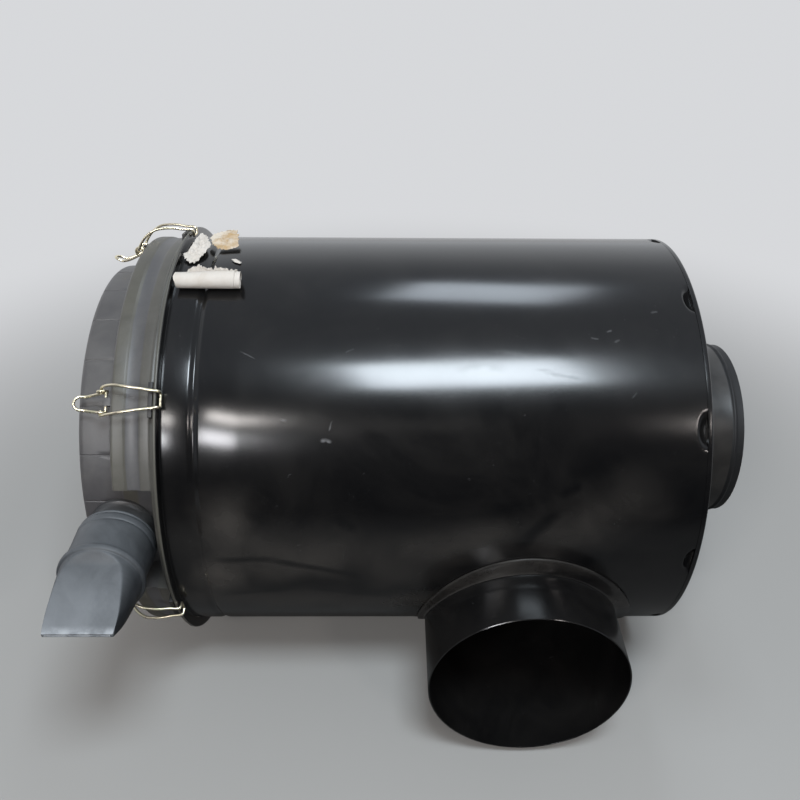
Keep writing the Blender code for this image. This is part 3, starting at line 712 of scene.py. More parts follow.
@dataclass(frozen=True)
class Enamel:
    """Semi-gloss black paint on steel sheet, with a dusty film, wiped smears, marks and fine scratches."""

    name: str
    base: Colour = (0.0024, 0.0025, 0.0029)
    dust: Colour = (0.105, 0.094, 0.083)
    bare: Colour = (0.25, 0.25, 0.255)
    roughness: float = 0.158
    film: float = 0.016
    settle: float = 0.35
    smears: float = 0.05
    scratches: float = 0.4
    wave: float = 0.0005
    shift: float = 0.0
    marks: tuple[Mark, ...] = ()
    radius: float = 0.225
    zone: tuple[float, float] | None = None
    zone_colour: Colour = (0.075, 0.071, 0.059)
    zone_dull: float = 0.3
    zone_soft: float = 0.0004

    def build(self, axis: Axis) -> Material:
        """Build the paint.

        Args:
            axis: The housing's axis, which the marks are laid out round.

        Returns:
            The material.
        """
        tree = Surface(self.name)
        place = tree.add("ShaderNodeMapping", {"Vector": tree.where, "Location": (self.shift,) * 3})
        smear = tree.effect(Effect.SMEARS, vector=place, scale=5.5, amount=self.smears)["Mask"]
        film = tree.effect(
            Effect.FILM, vector=place, color=tree.mix(smear, self.base, self.dust), dust=self.dust,
            amount=self.film, scale=11.0, settle=self.settle,
        )
        pale = tree.effect(Effect.SCRATCHES, vector=place, scale=9.0, amount=self.scratches)["Mask"]
        colour = film["Color"]
        dull = smear * 0.8 + film["Mask"]
        if self.marks:
            masks = self._marks(tree, axis)
            cloud = tree.cloud(place, 9.0, 5.0, 0.6, 0.8).band(0.25, 0.7, 0.35, 1.0)
            haze = masks[Trace.DUSTY] * cloud * (1 - masks[Trace.CLEAN])
            colour = tree.mix(haze * 0.44, colour, self.dust)
            colour = tree.mix(masks[Trace.CLEAN] * 0.7, colour, self.base)
            dull = dull + haze * 0.25 + masks[Trace.DULL] * 0.4
            pale = tree.math("MAXIMUM", pale, masks[Trace.PALE])
        if self.zone is not None:
            across, soft = tree.split(tree.where)[0], self.zone_soft
            start, end = (axis.joint + edge for edge in self.zone)
            zone = across.band(start - soft, start + soft) * across.band(end - soft, end + soft, 1.0, 0.0)
            colour = tree.mix(zone, colour, self.zone_colour)
            dull = dull + zone * self.zone_dull
        worn = ((dull * 0.7 + self.roughness).clamped() + pale * 0.25).clamped()
        skin = tree.effect(
            Effect.SKIN, vector=place, wave_scale=6.0, wave=self.wave, grain_scale=520.0, grain=0.000007,
        )
        return tree.finish(tree.mix(pale, colour, self.bare), worn, skin["Height"])

    def _marks(self, tree: Surface, axis: Axis) -> dict[Trace, Value]:
        """Lay every mark on the drum unrolled round its axis.

        Args:
            tree: The material's tree.
            axis: The housing's axis.

        Returns:
            One mask for each kind of trace.
        """
        x, y, z = tree.split(tree.where)
        turn = tree.math("ARCTAN2", z - axis.z, axis.y - y)
        flat = tree.add("ShaderNodeCombineXYZ", {0: x - axis.joint, 1: turn * self.radius})
        masks: dict[Trace, Value] = {}
        for mark in self.marks:
            lean, trace = math.radians(mark.lean), mark.trace
            fray, gaps, scale = (1.3, 0.2, 13.0) if trace in (Trace.DUSTY, Trace.CLEAN) else (3.4, 0.75, 110.0)
            stroke = tree.effect(
                Effect.STROKE, vector=flat, centre=(mark.station, math.radians(mark.turn) * self.radius, 0.0),
                cos=math.cos(lean), sin=math.sin(lean), length=mark.length, width=mark.width, bow=mark.bow,
                strength=mark.strength, fray=fray, gaps=gaps, scale=scale,
            )["Mask"]
            masks[trace] = tree.math("MAXIMUM", masks[trace], stroke) if trace in masks else stroke
        return masks


@dataclass(frozen=True)
class MouldedPlastic:
    """Grey-black moulded plastic whose bands took on dust in different shades."""

    name: str
    joint: float
    bowl: Colour = (0.064, 0.060, 0.062)
    bands: tuple[Colour, ...] = ((0.060, 0.056, 0.043), (0.062, 0.061, 0.065), (0.065, 0.061, 0.052))
    edges: tuple[float, ...] = (-0.0420, -0.0285, -0.0160)
    soft: float = 0.0006
    dust: Colour = (0.2, 0.19, 0.17)
    mottle: Colour = (0.028, 0.026, 0.027)
    scratch: Colour = (0.26, 0.25, 0.24)
    roughness: float = 0.36

    def build(self) -> Material:
        """Build the plastic.

        Returns:
            The material.
        """
        tree = Surface(self.name)
        where = tree.where
        station = tree.split(where)[0] + (tree.cloud(where, 30.0, 3.0) - 0.5) * 0.003
        colour = self.bowl
        for edge, shade in zip(self.edges, self.bands):
            start = self.joint + edge
            colour = tree.mix(station.band(start - self.soft, start + self.soft), colour, shade)
        stains = tree.cloud(where, 18.0, 5.0, 0.6, 0.5).band(0.35, 0.75, 0.0, 0.35)
        mottled = tree.mix(stains, colour, self.mottle)
        film = tree.effect(Effect.FILM, color=mottled, dust=self.dust, amount=0.16, scale=24.0, settle=0.6)
        scratch = tree.effect(Effect.SCRATCHES, scale=14.0, amount=0.5)
        skin = tree.effect(Effect.SKIN, wave_scale=12.0, wave=0.0006, grain_scale=1500.0, grain=0.00002)
        rough = (film["Mask"] * 0.5 + self.roughness).clamped()
        return tree.finish(tree.mix(scratch["Mask"], film["Color"], self.scratch), rough, skin["Height"])


@dataclass(frozen=True)
class Rubber:
    """Matte moulded rubber, chalky where it looks up and worn pale along a lip."""

    name: str
    base: Colour = (0.017, 0.019, 0.022)
    dust: Colour = (0.27, 0.285, 0.30)
    worn: Colour = (0.46, 0.48, 0.50)
    amount: float = 0.10
    chalk: float = 0.15
    lip: float | None = None
    lip_chalk: float = 0.40
    reach: float = 0.075
    worn_reach: float = 0.009

    def build(self) -> Material:
        """Build the rubber.

        Returns:
            The material.
        """
        tree = Surface(self.name, specular=0.4)
        film = tree.effect(
            Effect.FILM, color=self.base, dust=self.dust, amount=self.amount, scale=30.0, settle=1.0,
        )
        smear = tree.effect(Effect.SMEARS, scale=16.0, amount=0.45)["Mask"]
        up, lip = tree.up(), self.lip
        chalk: object = self.chalk
        if lip is not None:
            out = tree.split(tree.where)[1]
            chalk = out.band(lip, lip + self.reach, 1.0, 0.0) * self.lip_chalk + self.chalk
        settled = up.band(0.10, 0.80) * chalk * (1 - smear)
        chalky = tree.mix(settled, film["Color"], self.dust)
        if lip is not None:
            patch = tree.cloud(tree.where, 75.0, 4.0, 0.6).band(0.3, 0.6, 0.25, 1.0)
            rubbed = out.band(lip, lip + self.worn_reach, 0.8, 0.0) * patch * up.band(-0.1, 0.4)
            chalky = tree.mix(rubbed, chalky, self.worn)
        scratch = tree.effect(Effect.SCRATCHES, scale=30.0, amount=0.3)
        skin = tree.effect(Effect.SKIN, wave_scale=45.0, wave=0.0003, grain_scale=1800.0, grain=0.00003)
        marked = tree.mix(scratch["Mask"], chalky, self.dust)
        return tree.finish(marked, (settled * 0.2 + 0.5).clamped(), skin["Height"])


@dataclass(frozen=True)
class YellowZinc:
    """Yellow zinc plating on spring wire, with a greenish and rosy bloom and dull spots."""

    name: str
    green: Colour = (0.88, 0.82, 0.58)
    rosy: Colour = (0.92, 0.80, 0.62)
    dust: Colour = (0.42, 0.37, 0.27)

    def build(self) -> Material:
        """Build the plating.

        Returns:
            The material.
        """
        tree = Surface(self.name, metallic=1.0)
        bloom = tree.mix(tree.cloud(tree.where, 90.0, 3.0, 0.6, 0.6).band(0.3, 0.7), self.green, self.rosy)
        film = tree.effect(Effect.FILM, color=bloom, dust=self.dust, amount=0.25, scale=120.0, settle=0.2)
        skin = tree.effect(Effect.SKIN, wave_scale=160.0, wave=0.00008, grain_scale=3000.0, grain=0.00001)
        return tree.finish(film["Color"], (film["Mask"] * 0.45 + 0.24).clamped(), skin["Height"])


@dataclass(frozen=True)
class TornPaper:
    """Label stock: a pale printed side or a tan adhesive side, with fibres and stains."""

    name: str
    base: Colour
    stain: Colour
    stained: float
    blot: float = 70.0
    dust: Colour = (0.33, 0.29, 0.25)

    def build(self) -> Material:
        """Build the paper.

        Returns:
            The material.
        """
        tree = Surface(self.name, specular=0.2)
        blot = tree.cloud(tree.where, self.blot, 5.0, 0.6, 0.6)
        stained = tree.mix(blot.band(0.42, 0.66) * self.stained, self.base, self.stain)
        fibres = tree.cloud(tree.stretched(tree.where, (1.0, 5.0, 5.0), (0.3, 0.2, 0.4)), 700.0, 3.0, 0.6)
        film = tree.effect(Effect.FILM, color=stained, dust=self.dust, amount=0.12, scale=60.0, settle=0.0)
        lined = tree.mix(fibres.band(0.4, 0.7, 0.0, 0.14), film["Color"], self.stain)
        return tree.finish(lined, blot.band(0.2, 0.8, 0.78, 0.92), fibres * 0.00006 + blot * 0.0004)


@dataclass(frozen=True)
class PleatedMedium:
    """Filter paper in pleats behind a perforated steel liner, as seen in the outlet's bore, with painted shade
    in the pleats' valleys and painted light on their crests.
    """

    name: str
    pleats: float = 180.0
    holes: float = 90.0
    hole_pitch: float = 0.0075
    # Painted shade and painted light: the paper's colour in each pleat's valley and on its crest.
    pleat_shading: tuple[Colour, Colour] = ((0.17, 0.13, 0.07), (0.52, 0.44, 0.27))
    liner: tuple[Colour, Colour] = ((0.30, 0.31, 0.32), (0.42, 0.42, 0.42))

    def build(self, axis: Axis) -> Material:
        """Build the medium.

        Args:
            axis: The housing's axis, which the pleats go round.

        Returns:
            The material.
        """
        tree = Surface(self.name, specular=0.3)
        x, y, z = tree.split(tree.where)
        turn = tree.math("ARCTAN2", z - axis.z, y - axis.y)
        pleat_shading = tree.math("SINE", turn * self.pleats)
        # Painted pleat shading: each valley is darker and each crest lighter, following the pleat wave.
        paper = tree.mix(pleat_shading.band(-1.0, 0.6), *self.pleat_shading)
        around = tree.math("SINE", turn * self.holes)
        along = tree.math("SINE", x * (FULL_TURN / self.hole_pitch))
        hole = (around * along).band(0.18, 0.34)
        liner = tree.mix(tree.cloud(tree.where, 60.0), *self.liner)
        height = hole * -0.0008 + pleat_shading * 0.0004
        return tree.finish(tree.mix(hole, liner, paper), hole.band(0.0, 1.0, 0.42, 0.9), height)


# ---- the housing ----


@dataclass
class Shell:
    """Rolled steel body with its groove, crimped outlet rim and inlet hole."""

    axis: Axis
    radius: float = 0.225
    length: float = 0.532
    sheet: float = 0.0015
    bead_station: float = 0.0350
    bead_width: float = 0.0118
    bead_depth: float = 0.0025
    bead_steps: int = 14
    seam_inset: float = 0.0055
    seam_depth: float = 0.0007
    rim_roll: float = 0.002
    dents: int = 10
    dent_angle: float = math.radians(35)
    dent_reach: float = 0.0108
    dent_depth: float = 0.0048
    dent_half: float = math.radians(5.1)
    columns: int = 480

    def _bead(self, wall: float) -> list[Place]:
        """Lay out one face of the rolled groove, from the joint side to the outlet side.

        Args:
            wall: How deep in the sheet the face lies.

        Returns:
            Points as (station, radius).
        """
        points = []
        for share in shares(self.bead_steps):
            dip = self.bead_depth * (0.4 * hump(share) + 0.6 * (1 - abs(2 * share - 1)) ** 1.2)
            points.append((self.bead_station + self.bead_width * (share - 0.5), self.radius - wall - dip))
        return points

    def dip(self, station: float, angle: float) -> float:
        """Find how deep the half-round crimps behind the rim are pressed.

        Args:
            station: Place along the axis.
            angle: Place round it.

        Returns:
            The depth.
        """
        across = astray(angle, self.dent_angle, FULL_TURN / self.dents) / self.dent_half
        along = (self.length - self.seam_inset - station) / self.dent_reach
        if along < -0.001:
            return 0.0
        return self.dent_depth * (1 - rise(math.hypot(across, along), 0.30, 1.0)) * (1.0 - 0.25 * along)

    def profile(self) -> list[Place]:
        """Lay out the sheet from the joint to the rim and back.

        Returns:
            Closed outline of (station, radius).
        """
        end, radius, bore, roll = self.length, self.radius, self.radius - self.sheet, self.rim_roll
        seam = end - self.seam_inset
        outer = offsets((0.0, radius), (0, -0.4), (0.4, 0)) + self._bead(0.0)
        outer += [(0.08 + 0.06 * k, radius) for k in range(8)]
        outer += [(seam - self.dent_reach * (1.05 - 0.07 * k), radius) for k in range(15)]
        outer += [(seam - 0.0002, radius), (seam, radius - self.seam_depth)]
        outer += offsets((seam, radius), (0.3, -0.1), (1.6, 0), (2.6, 0))
        outer += arc(end - roll, radius - roll, roll, 0.0, QUARTER, 4)
        inner = offsets((end, bore - self.seam_depth - 0.0002), (0, 0), (-2.5, 0), (-6.6, 0))
        inner += [(end - 0.0085, bore), (0.4, bore), (0.25, bore), (0.12, bore)]
        return outer + inner + self._bead(self.sheet)[::-1] + [(0.0, bore)]

    def build(self, finish: Material) -> bpy.types.Object:
        """Make the body, still without the inlet's hole.

        Args:
            finish: Its paint.

        Returns:
            The body.
        """
        verts = [
            self.axis.at(station, radius - self.dip(station, turn), turn)
            for station, radius in self.profile() for turn in even_turns(self.columns)
        ]
        return make_piece("shell_body", Shape.loop(verts, self.columns), finish, "shell", "body_shell")


@dataclass
class Inlet:
    """Side pipe with its rolled mouth, and the saddle plate round its foot."""

    shell: Shell
    radius: float = 0.104
    station: float = 0.366
    reach: float = 0.286
    drop: float = 0.1225
    margin: float = 0.020
    plate: float = 0.0022
    seat: float = 0.0007
    opening: float = math.radians(72)
    narrow: tuple[float, float] = (0.60, 0.22)
    lip: float = 0.0006
    steps: int = 10
    plate_steps: int = 180
    columns: int = 240

    def _point(self, reach: float, out: float, turn: float) -> Vector:
        """Point round the pipe's axis, with turn zero at the top."""
        side = reach * math.cos(turn) - self.drop
        return self.shell.axis.at(self.station + reach * math.sin(turn), out, 0.0, side)

    def _foot(self, reach: float, turn: float, radius: float) -> float:
        """Distance from the housing's axis plane at which the pipe meets a cylinder."""
        height = reach * math.cos(turn) - self.drop
        return math.sqrt(max(radius ** 2 - height ** 2, 0.0))

    def cut(self, body: bpy.types.Object) -> None:
        """Cut the inlet's bore through the body.

        Args:
            body: The body.
        """
        bore = self.radius - self.shell.sheet
        verts = [self._point(bore, out, turn) for out in (self.reach, 0.0) for turn in even_turns(self.columns)]
        cutter = Shape.rod(verts, self.columns).link("inlet_cutter", smooth=False)
        step = body.modifiers.new("inlet_hole", "BOOLEAN")
        step.operation, step.solver, step.object = "DIFFERENCE", "EXACT", cutter
        bpy.context.view_layer.update()
        made = bpy.data.meshes.new_from_object(body.evaluated_get(bpy.context.evaluated_depsgraph_get()))
        body.modifiers.clear()
        body.data = made
        bpy.data.objects.remove(cutter, do_unlink=True)

    def build(self, finish: Material, plate_finish: Material) -> None:
        """Make the pipe and its saddle plate.

        Args:
            finish: Paint of the pipe.
            plate_finish: Paint of the plate.
        """
        outer, inner, lip = self.radius, self.radius - self.shell.sheet, self.lip
        turns = even_turns(self.columns)
        verts = [self._point(reach, self.reach, turn) for reach in (inner + lip, outer - lip) for turn in turns]
        down = shares(self.steps)
        for radius, share in [(outer, share) for share in down] + [(inner, share) for share in reversed(down)]:
            for turn in turns:
                foot = self._foot(radius, turn, self.shell.radius + GAP)
                out = self.reach - lip + (foot - self.reach + lip) * share
                verts.append(self._point(radius, out, turn))
        make_piece("inlet_duct", Shape.loop(verts, self.columns), finish, "pipes", "inlet_pipe")
        self._saddle(plate_finish)

    def _saddle(self, finish: Material) -> None:
        """Make the thin plate that lies on the body round the pipe's foot.

        Args:
            finish: Its paint.
        """
        near, far = self.radius + GAP, self.radius + self.margin
        low = self.shell.radius + self.seat
        high, edge = low + self.plate, self.plate * 0.45
        section = [(near, low)] + offsets((near, high), (0, 1.2), (1.2, 0.4), (3, 0), (8, 0), (14, 0))
        section += [(far - edge, high), (far - edge * 0.3, high - edge * 0.3), (far, high - edge), (far, low)]
        section += offsets((near, low), (13, 0), (6, 0))
        verts = []
        for along in shares(self.plate_steps):
            turn = (math.pi - self.opening) * (2 * along - 1)
            share = 1 - self.narrow[turn > 0] * rise(abs(turn), 0.0, QUARTER)
            for spot, radius in section:
                reach = near + (spot - near) * share
                verts.append(self._point(reach, self._foot(reach, turn, radius), turn))
        make_piece("inlet_saddle", Shape.rod(verts, len(section)), finish, "trim", "inlet_collar")


@dataclass
class Ends:
    """Joint ring, end plate and outlet tube."""

    shell: Shell
    flange_rise: float = 0.01125
    flange_thickness: float = 0.004
    plate_inset: float = 0.005
    swage_radius: float = 0.150
    swage_width: float = 0.016
    swage_depth: float = 0.0015
    outlet_radius: float = 0.100
    outlet_reach: float = 0.083
    outlet_seat: float = 0.045
    bead_inset: float = 0.010
    bead_rise: float = 0.0015
    bead_width: float = 0.006
    lip: float = 0.0005
    steps: int = 12
    columns: int = 288

    def _turn(self, name: str, profile: list[Place], finish: Material, slot: str, node: str) -> None:
        """Make one piece by turning its outline round the axis."""
        make_piece(name, Shape.turned(self.shell.axis, profile, self.columns), finish, slot, node)

    def _bead(self, station: float, radius: float, way: float) -> list[Place]:
        """Lay out one face of the bead near the outlet's end.

        Args:
            station: Middle of the bead.
            radius: Radius of the face.
            way: 1 towards the outlet, -1 away from it.

        Returns:
            Points as (station, radius).
        """
        return [
            (station + way * self.bead_width * (share - 0.5), radius + self.bead_rise * hump(share))
            for share in shares(self.steps)
        ]

    def build(self, ring: Material, plate: Material, stub: Material) -> None:
        """Make the three pieces.

        Args:
            ring: Paint of the joint ring.
            plate: Paint of the end plate.
            stub: Paint of the outlet tube.
        """
        shell, thick, half = self.shell, self.flange_thickness, self.flange_thickness / 2
        low, high = shell.radius + GAP, shell.radius + self.flange_rise
        profile = [(0.0, low + 0.0006)] + arc(half, high - half, half, -QUARTER, QUARTER, 8)
        profile += offsets((thick, low), (0, 2.5), (0.2, 0.4), (0.6, 0.1), (0, 0))
        self._turn("joint_ring", profile, ring, "trim", "body_flange")

        face = shell.length - self.plate_inset
        outer = shell.radius - shell.sheet - shell.seam_depth - GAP - 0.0003
        front = offsets((face, outer), (1.2, 0), (0, -3), (0, -20))
        for share in shares(self.steps):
            station = face + self.swage_depth * hump(share)
            front.append((station, self.swage_radius + self.swage_width * (0.5 - share)))
        front += offsets((face, self.outlet_radius + GAP), (0, 8), (0.6, 3), (2.4, 0))
        back = [(station - shell.sheet, radius) for station, radius in reversed(front)]
        self._turn("outlet_end_plate", front + back, plate, "trim", "end_plate")

        radius, wall, lip = self.outlet_radius, self.outlet_radius - shell.sheet, self.lip
        tip = shell.length + self.outlet_reach
        bead, start = tip - self.bead_inset, face - self.outlet_seat
        tube = [(start, radius)] + offsets((face, radius), (0, 0), (20, 0), (40, 0), (60, 0))
        tube += self._bead(bead, radius, 1.0)
        tube += [(tip - lip, radius), (tip, radius - lip), (tip, wall + lip), (tip - lip, wall)]
        tube += self._bead(bead, wall, -1.0) + [(face + 0.03, wall), (face, wall), (start, wall)]
        self._turn("outlet_stub", tube, stub, "pipes", "outlet_tube")


@dataclass
class DustCover:
    """Moulded cover: ribbed bowl, ridged band, pocket and neck for the valve."""

    axis: Axis
    depth: float = 0.0856
    wall: float = 0.003
    step: float = 0.0435
    step_round: float = 0.003
    band: float = 0.225
    bowl: float = 0.1925
    bowl_round: float = 0.006
    taper: float = 0.001
    groove: float = 0.0014
    ridges: tuple[float, float] = (0.01566, 0.02871)
    rim: float = 0.0062
    pocket_half: float = math.radians(16)
    pocket_radius: float = 0.1935
    dish_radius: float = 0.120
    dish_depth: float = 0.006
    ribs: int = 25
    rib_angle: float = math.radians(12.8)
    rib_half: float = math.radians(0.34)
    rib_rise: float = -0.0007
    valve_angle: float = math.radians(4)
    valve_station: float = 0.0472
    neck: float = 0.0288
    neck_end: float = 0.2150
    neck_wall: float = 0.003
    neck_lip: float = 0.0006
    neck_columns: int = 96

    def _turns(self) -> list[float]:
        """Choose the columns' angles, closer together at the ribs and at the pocket's ends.

        Returns:
            Angles in rising order.
        """
        pitch = FULL_TURN / self.ribs
        found = []
        for k in range(self.ribs):
            centre = self.rib_angle + pitch * k
            found += [centre + self.rib_half * share for share in (-1.0, -0.6, 0.0, 0.6, 1.0)]
            found += [centre + pitch * share for share in shares(10)[1:-1]]
        for side in (-1, 1):
            for share in (0.94, 0.955, 0.97, 0.985, 1.0, 1.015):
                found.append(self.valve_angle + side * self.pocket_half * share)
        found = sorted(turn % FULL_TURN for turn in found)
        kept = found[:1]
        for turn in found[1:]:
            if turn - kept[-1] > 0.0008:
                kept.append(turn)
        return kept

    def _outline(self, wall: float) -> list[Place]:
        """Lay out one side of the cover's wall from the joint to the middle of its face.

        Args:
            wall: How deep in the wall the side lies.

        Returns:
            Points as (station, radius, radius in the pocket).
        """
        band, low = self.band - wall, self.band - self.groove - wall
        pocket, bowl = self.pocket_radius - wall, self.bowl - wall
        first, second = self.ridges
        slope, rounding, dish = self.groove, self.step_round, self.dish_depth
        rim, step, depth = wall - self.rim, wall - self.step, wall - self.depth
        points = offsets((-GAP, band, band), (0, -0.4, -0.4), (-0.4, 0, 0))
        points += offsets((rim, band, band), (2, 0, 0), (1, 0.7, 0.5), (0.2, 0.2, -3))
        points += offsets((rim, band, pocket), (-0.4, 0, 1.5), (-1.2, 0, 0))
        points += offsets((-first, band, pocket), (1.6, 0, 0), (0.4, -0.4, 0))
        points += offsets((-first - slope, low, pocket), (0.4, 0.4, 0), (-0.6, 0, 0))
        points += [(-(first + second + slope) / 2, low - 0.0002, pocket)]
        points += offsets((-second, low, pocket), (0.8, 0, 0), (0, 0.3, 0))
        points += offsets((-second - slope, band, pocket), (0, -0.3, 0), (-1.2, 0, 0))
        points += [(step + rounding + 0.0012, band, pocket)]
        points += [(*spot, pocket) for spot in arc(step + rounding, band - rounding, rounding, 0.0, -QUARTER, 4)]
        points += [
            (step, bowl + rounding, bowl + self.taper),
            (step - rounding * 0.3, bowl + rounding * 0.3, bowl + self.taper * 0.5),
            (step - rounding, bowl, bowl),
        ]
        points += offsets((-self.step, bowl, bowl), (-12, -0.2, -0.2), (-24, -0.6, -0.6))
        edge = bowl - self.taper - self.bowl_round
        flat = arc(depth + self.bowl_round, edge, self.bowl_round, 0.0, -QUARTER, 6)
        flat += [(depth, 0.170), (depth, 0.150)]
        for share in shares(10):
            reach = self.dish_radius + dish * (0.45 + 0.65 * math.cos(math.pi * share))
            flat.append((depth + dish * hump(share / 2), reach))
        flat += [(depth + dish, radius) for radius in (0.09, 0.05, 0.02)]
        return points + [(station, radius, radius) for station, radius in flat]

    def _radius(self, spot: Place, angle: float, outside: bool) -> float:
        """Find the radius of one side of the wall with the pocket and the ribs in it.

        Args:
            spot: Point of the outline.
            angle: Place round the axis.
            outside: Whether it is the outer side, which the ribs are on.

        Returns:
            The radius.
        """
        station, radius, pocket = spot
        off = abs(astray(angle, self.valve_angle, FULL_TURN))
        radius += (pocket - radius) * (1 - rise(off, self.pocket_half * 0.955, self.pocket_half))
        if outside and 0.001 - self.depth < station < -self.step - self.step_round / 2:
            near = abs(astray(angle, self.rib_angle, FULL_TURN / self.ribs)) / self.rib_half
            if near < 1:
                ends = rise(-station, self.step + 0.003, self.step + 0.006)
                radius += self.rib_rise * rise(1 - near, 0.0, 0.6) * ends
        return radius

    def build(self, finish: Material, neck_finish: Material) -> None:
        """Make the cover and its neck.

        Args:
            finish: Its plastic.
            neck_finish: The neck's.
        """
        turns, outer, inner = self._turns(), self._outline(0.0), self._outline(self.wall)
        sides = [(spot, False) for spot in reversed(inner)] + [(spot, True) for spot in outer]
        bowl = Shape([
            self.axis.at(spot[0], self._radius(spot, turn, outside), turn)
            for spot, outside in sides for turn in turns
        ])
        bowl.weave(len(sides), len(turns))
        bowl.fan(self.axis.at(inner[-1][0], 0.0, 0.0), 0, len(turns))
        bowl.fan(self.axis.at(outer[-1][0], 0.0, 0.0), (len(sides) - 1) * len(turns), len(turns))
        make_piece("cover_bowl", bowl, finish, "cover", "dust_cover")

        root, end, lip = self.bowl - self.wall / 2, self.neck_end, self.neck_lip
        bore = self.neck - self.neck_wall
        rows = [(self.neck + 0.0045, root)] + offsets((self.neck, self.bowl), (4, 1.4), (1.8, 2.8), (0, 5.5))
        rows += [(self.neck, end - lip), (self.neck - lip, end)]
        rows += [(bore + lip, end), (bore, end - lip), (bore, root)]
        verts = [
            self.axis.at(
                reach * math.cos(turn) - self.valve_station, out, self.valve_angle, reach * math.sin(turn),
            )
            for reach, out in rows for turn in even_turns(self.neck_columns)
        ]
        make_piece("valve_neck", Shape.loop(verts, self.neck_columns), neck_finish, "cover", "dust_cover")


@dataclass
class DustValve:
    """Rubber duckbill: ringed collar, then a wedge cut by two slanted planes down to a slit lip."""

    axis: Axis
    angle: float = math.radians(4)
    station: float = 0.0472
    start: float = 0.2142
    radius: float = 0.0392
    lip_ring: float = 0.0386
    crease: float = 0.2272
    mid_ring: float = 0.0412
    wedge: float = 0.272
    end: float = 0.341
    foot: float = 0.0382
    face_half: float = 0.0315
    lip_width: float = 0.0312
    lip_half: float = 0.0017
    slit: float = 0.0006
    bore: float = 0.0290
    steps: int = 45
    columns: int = 128

    def _rows(self) -> list[Place]:
        """Lay out the valve down its outside and up into the slit.

        Returns:
            Rows as (distance out, half width, half thickness).
        """
        start, radius, tip, width = self.start, self.radius, self.end, self.lip_width
        collar = offsets((start, self.bore), (1.2, 0), (0.6, 4))
        collar += offsets(
            (start, self.lip_ring), (0, -2.2), (0.4, -0.6), (1.4, 0), (2.6, -0.2), (3.2, -1.2), (4.2, -1),
        )
        collar += offsets((start, radius), (5.2, -0.3), (7, 0))
        collar += offsets(
            (self.crease, radius), (-1.6, -0.2), (-0.4, -0.7), (0.2, -1.3), (1.4, -0.5), (4, -0.3), (14, -0.6),
            (26, -1),
        )
        collar += offsets((self.wedge, radius), (-9, -0.7))
        for turn in (math.pi * share for share in shares(8)):
            ring = radius - 0.0006 + (self.mid_ring - radius + 0.0006) * math.sin(turn)
            collar.append((self.wedge - 0.0026 - 0.0040 * math.cos(turn), ring))
        rows = [(reach, wide, wide + 0.001) for reach, wide in collar]
        first = self.wedge + 0.0022
        for share in (even ** 1.3 for even in shares(self.steps)):
            half = self.face_half + (self.lip_half - self.face_half) * share
            half += (self.foot - self.face_half) * max(0.0, 1 - share / 0.13) ** 1.6
            wide = self.foot + (width - self.foot) * share ** 1.15
            rows.append((first + (tip - 0.0006 - first) * share, wide, half))
        rows += offsets((tip, width, self.lip_half), (-0.1, -0.6, 0), (0, -1.4, -0.4))
        return rows + offsets((tip, width, self.slit), (0, -2.4, 0.3), (-0.5, -2.8, 0), (-8, -3.2, 0))

    def build(self, finish: Material) -> None:
        """Make the valve.

        Args:
            finish: Its rubber.
        """
        rows, count = self._rows(), self.columns
        bill = Shape()
        for reach, width, half in rows:
            for turn in even_turns(count):
                turn += math.pi / count
                cos, sin = math.cos(turn), math.sin(turn)
                bulge = 0.0005 * rough(reach * 40, cos * 2, sin * 2)
                place = (width + bulge) * cos - self.station
                bill.verts.append(self.axis.at(place, reach, self.angle, self._pressed(width * sin, half)))
        bill.weave(len(rows), count)
        for row in (0, len(rows) - 1):
            bill.fan(self.axis.at(-self.station, rows[row][0], self.angle), row * count, count)
        make_piece("duckbill_valve", bill, finish, "rubber", "dust_valve", sharp=0.9)

    @staticmethod
    def _pressed(side: float, half: float) -> float:
        """Hold a sideways place inside a half thickness, with a slightly soft edge.

        Args:
            side: The place.
            half: The half thickness.

        Returns:
            The held place.
        """
        soft = min(0.0009, half * 0.4)
        reach = abs(side)
        if reach <= half - soft:
            return side
        over = (reach - half + soft) / (2 * soft)
        held = half - soft + soft * (1 - (1 - min(over, 1.0)) ** 2)
        return math.copysign(min(held, half), side)


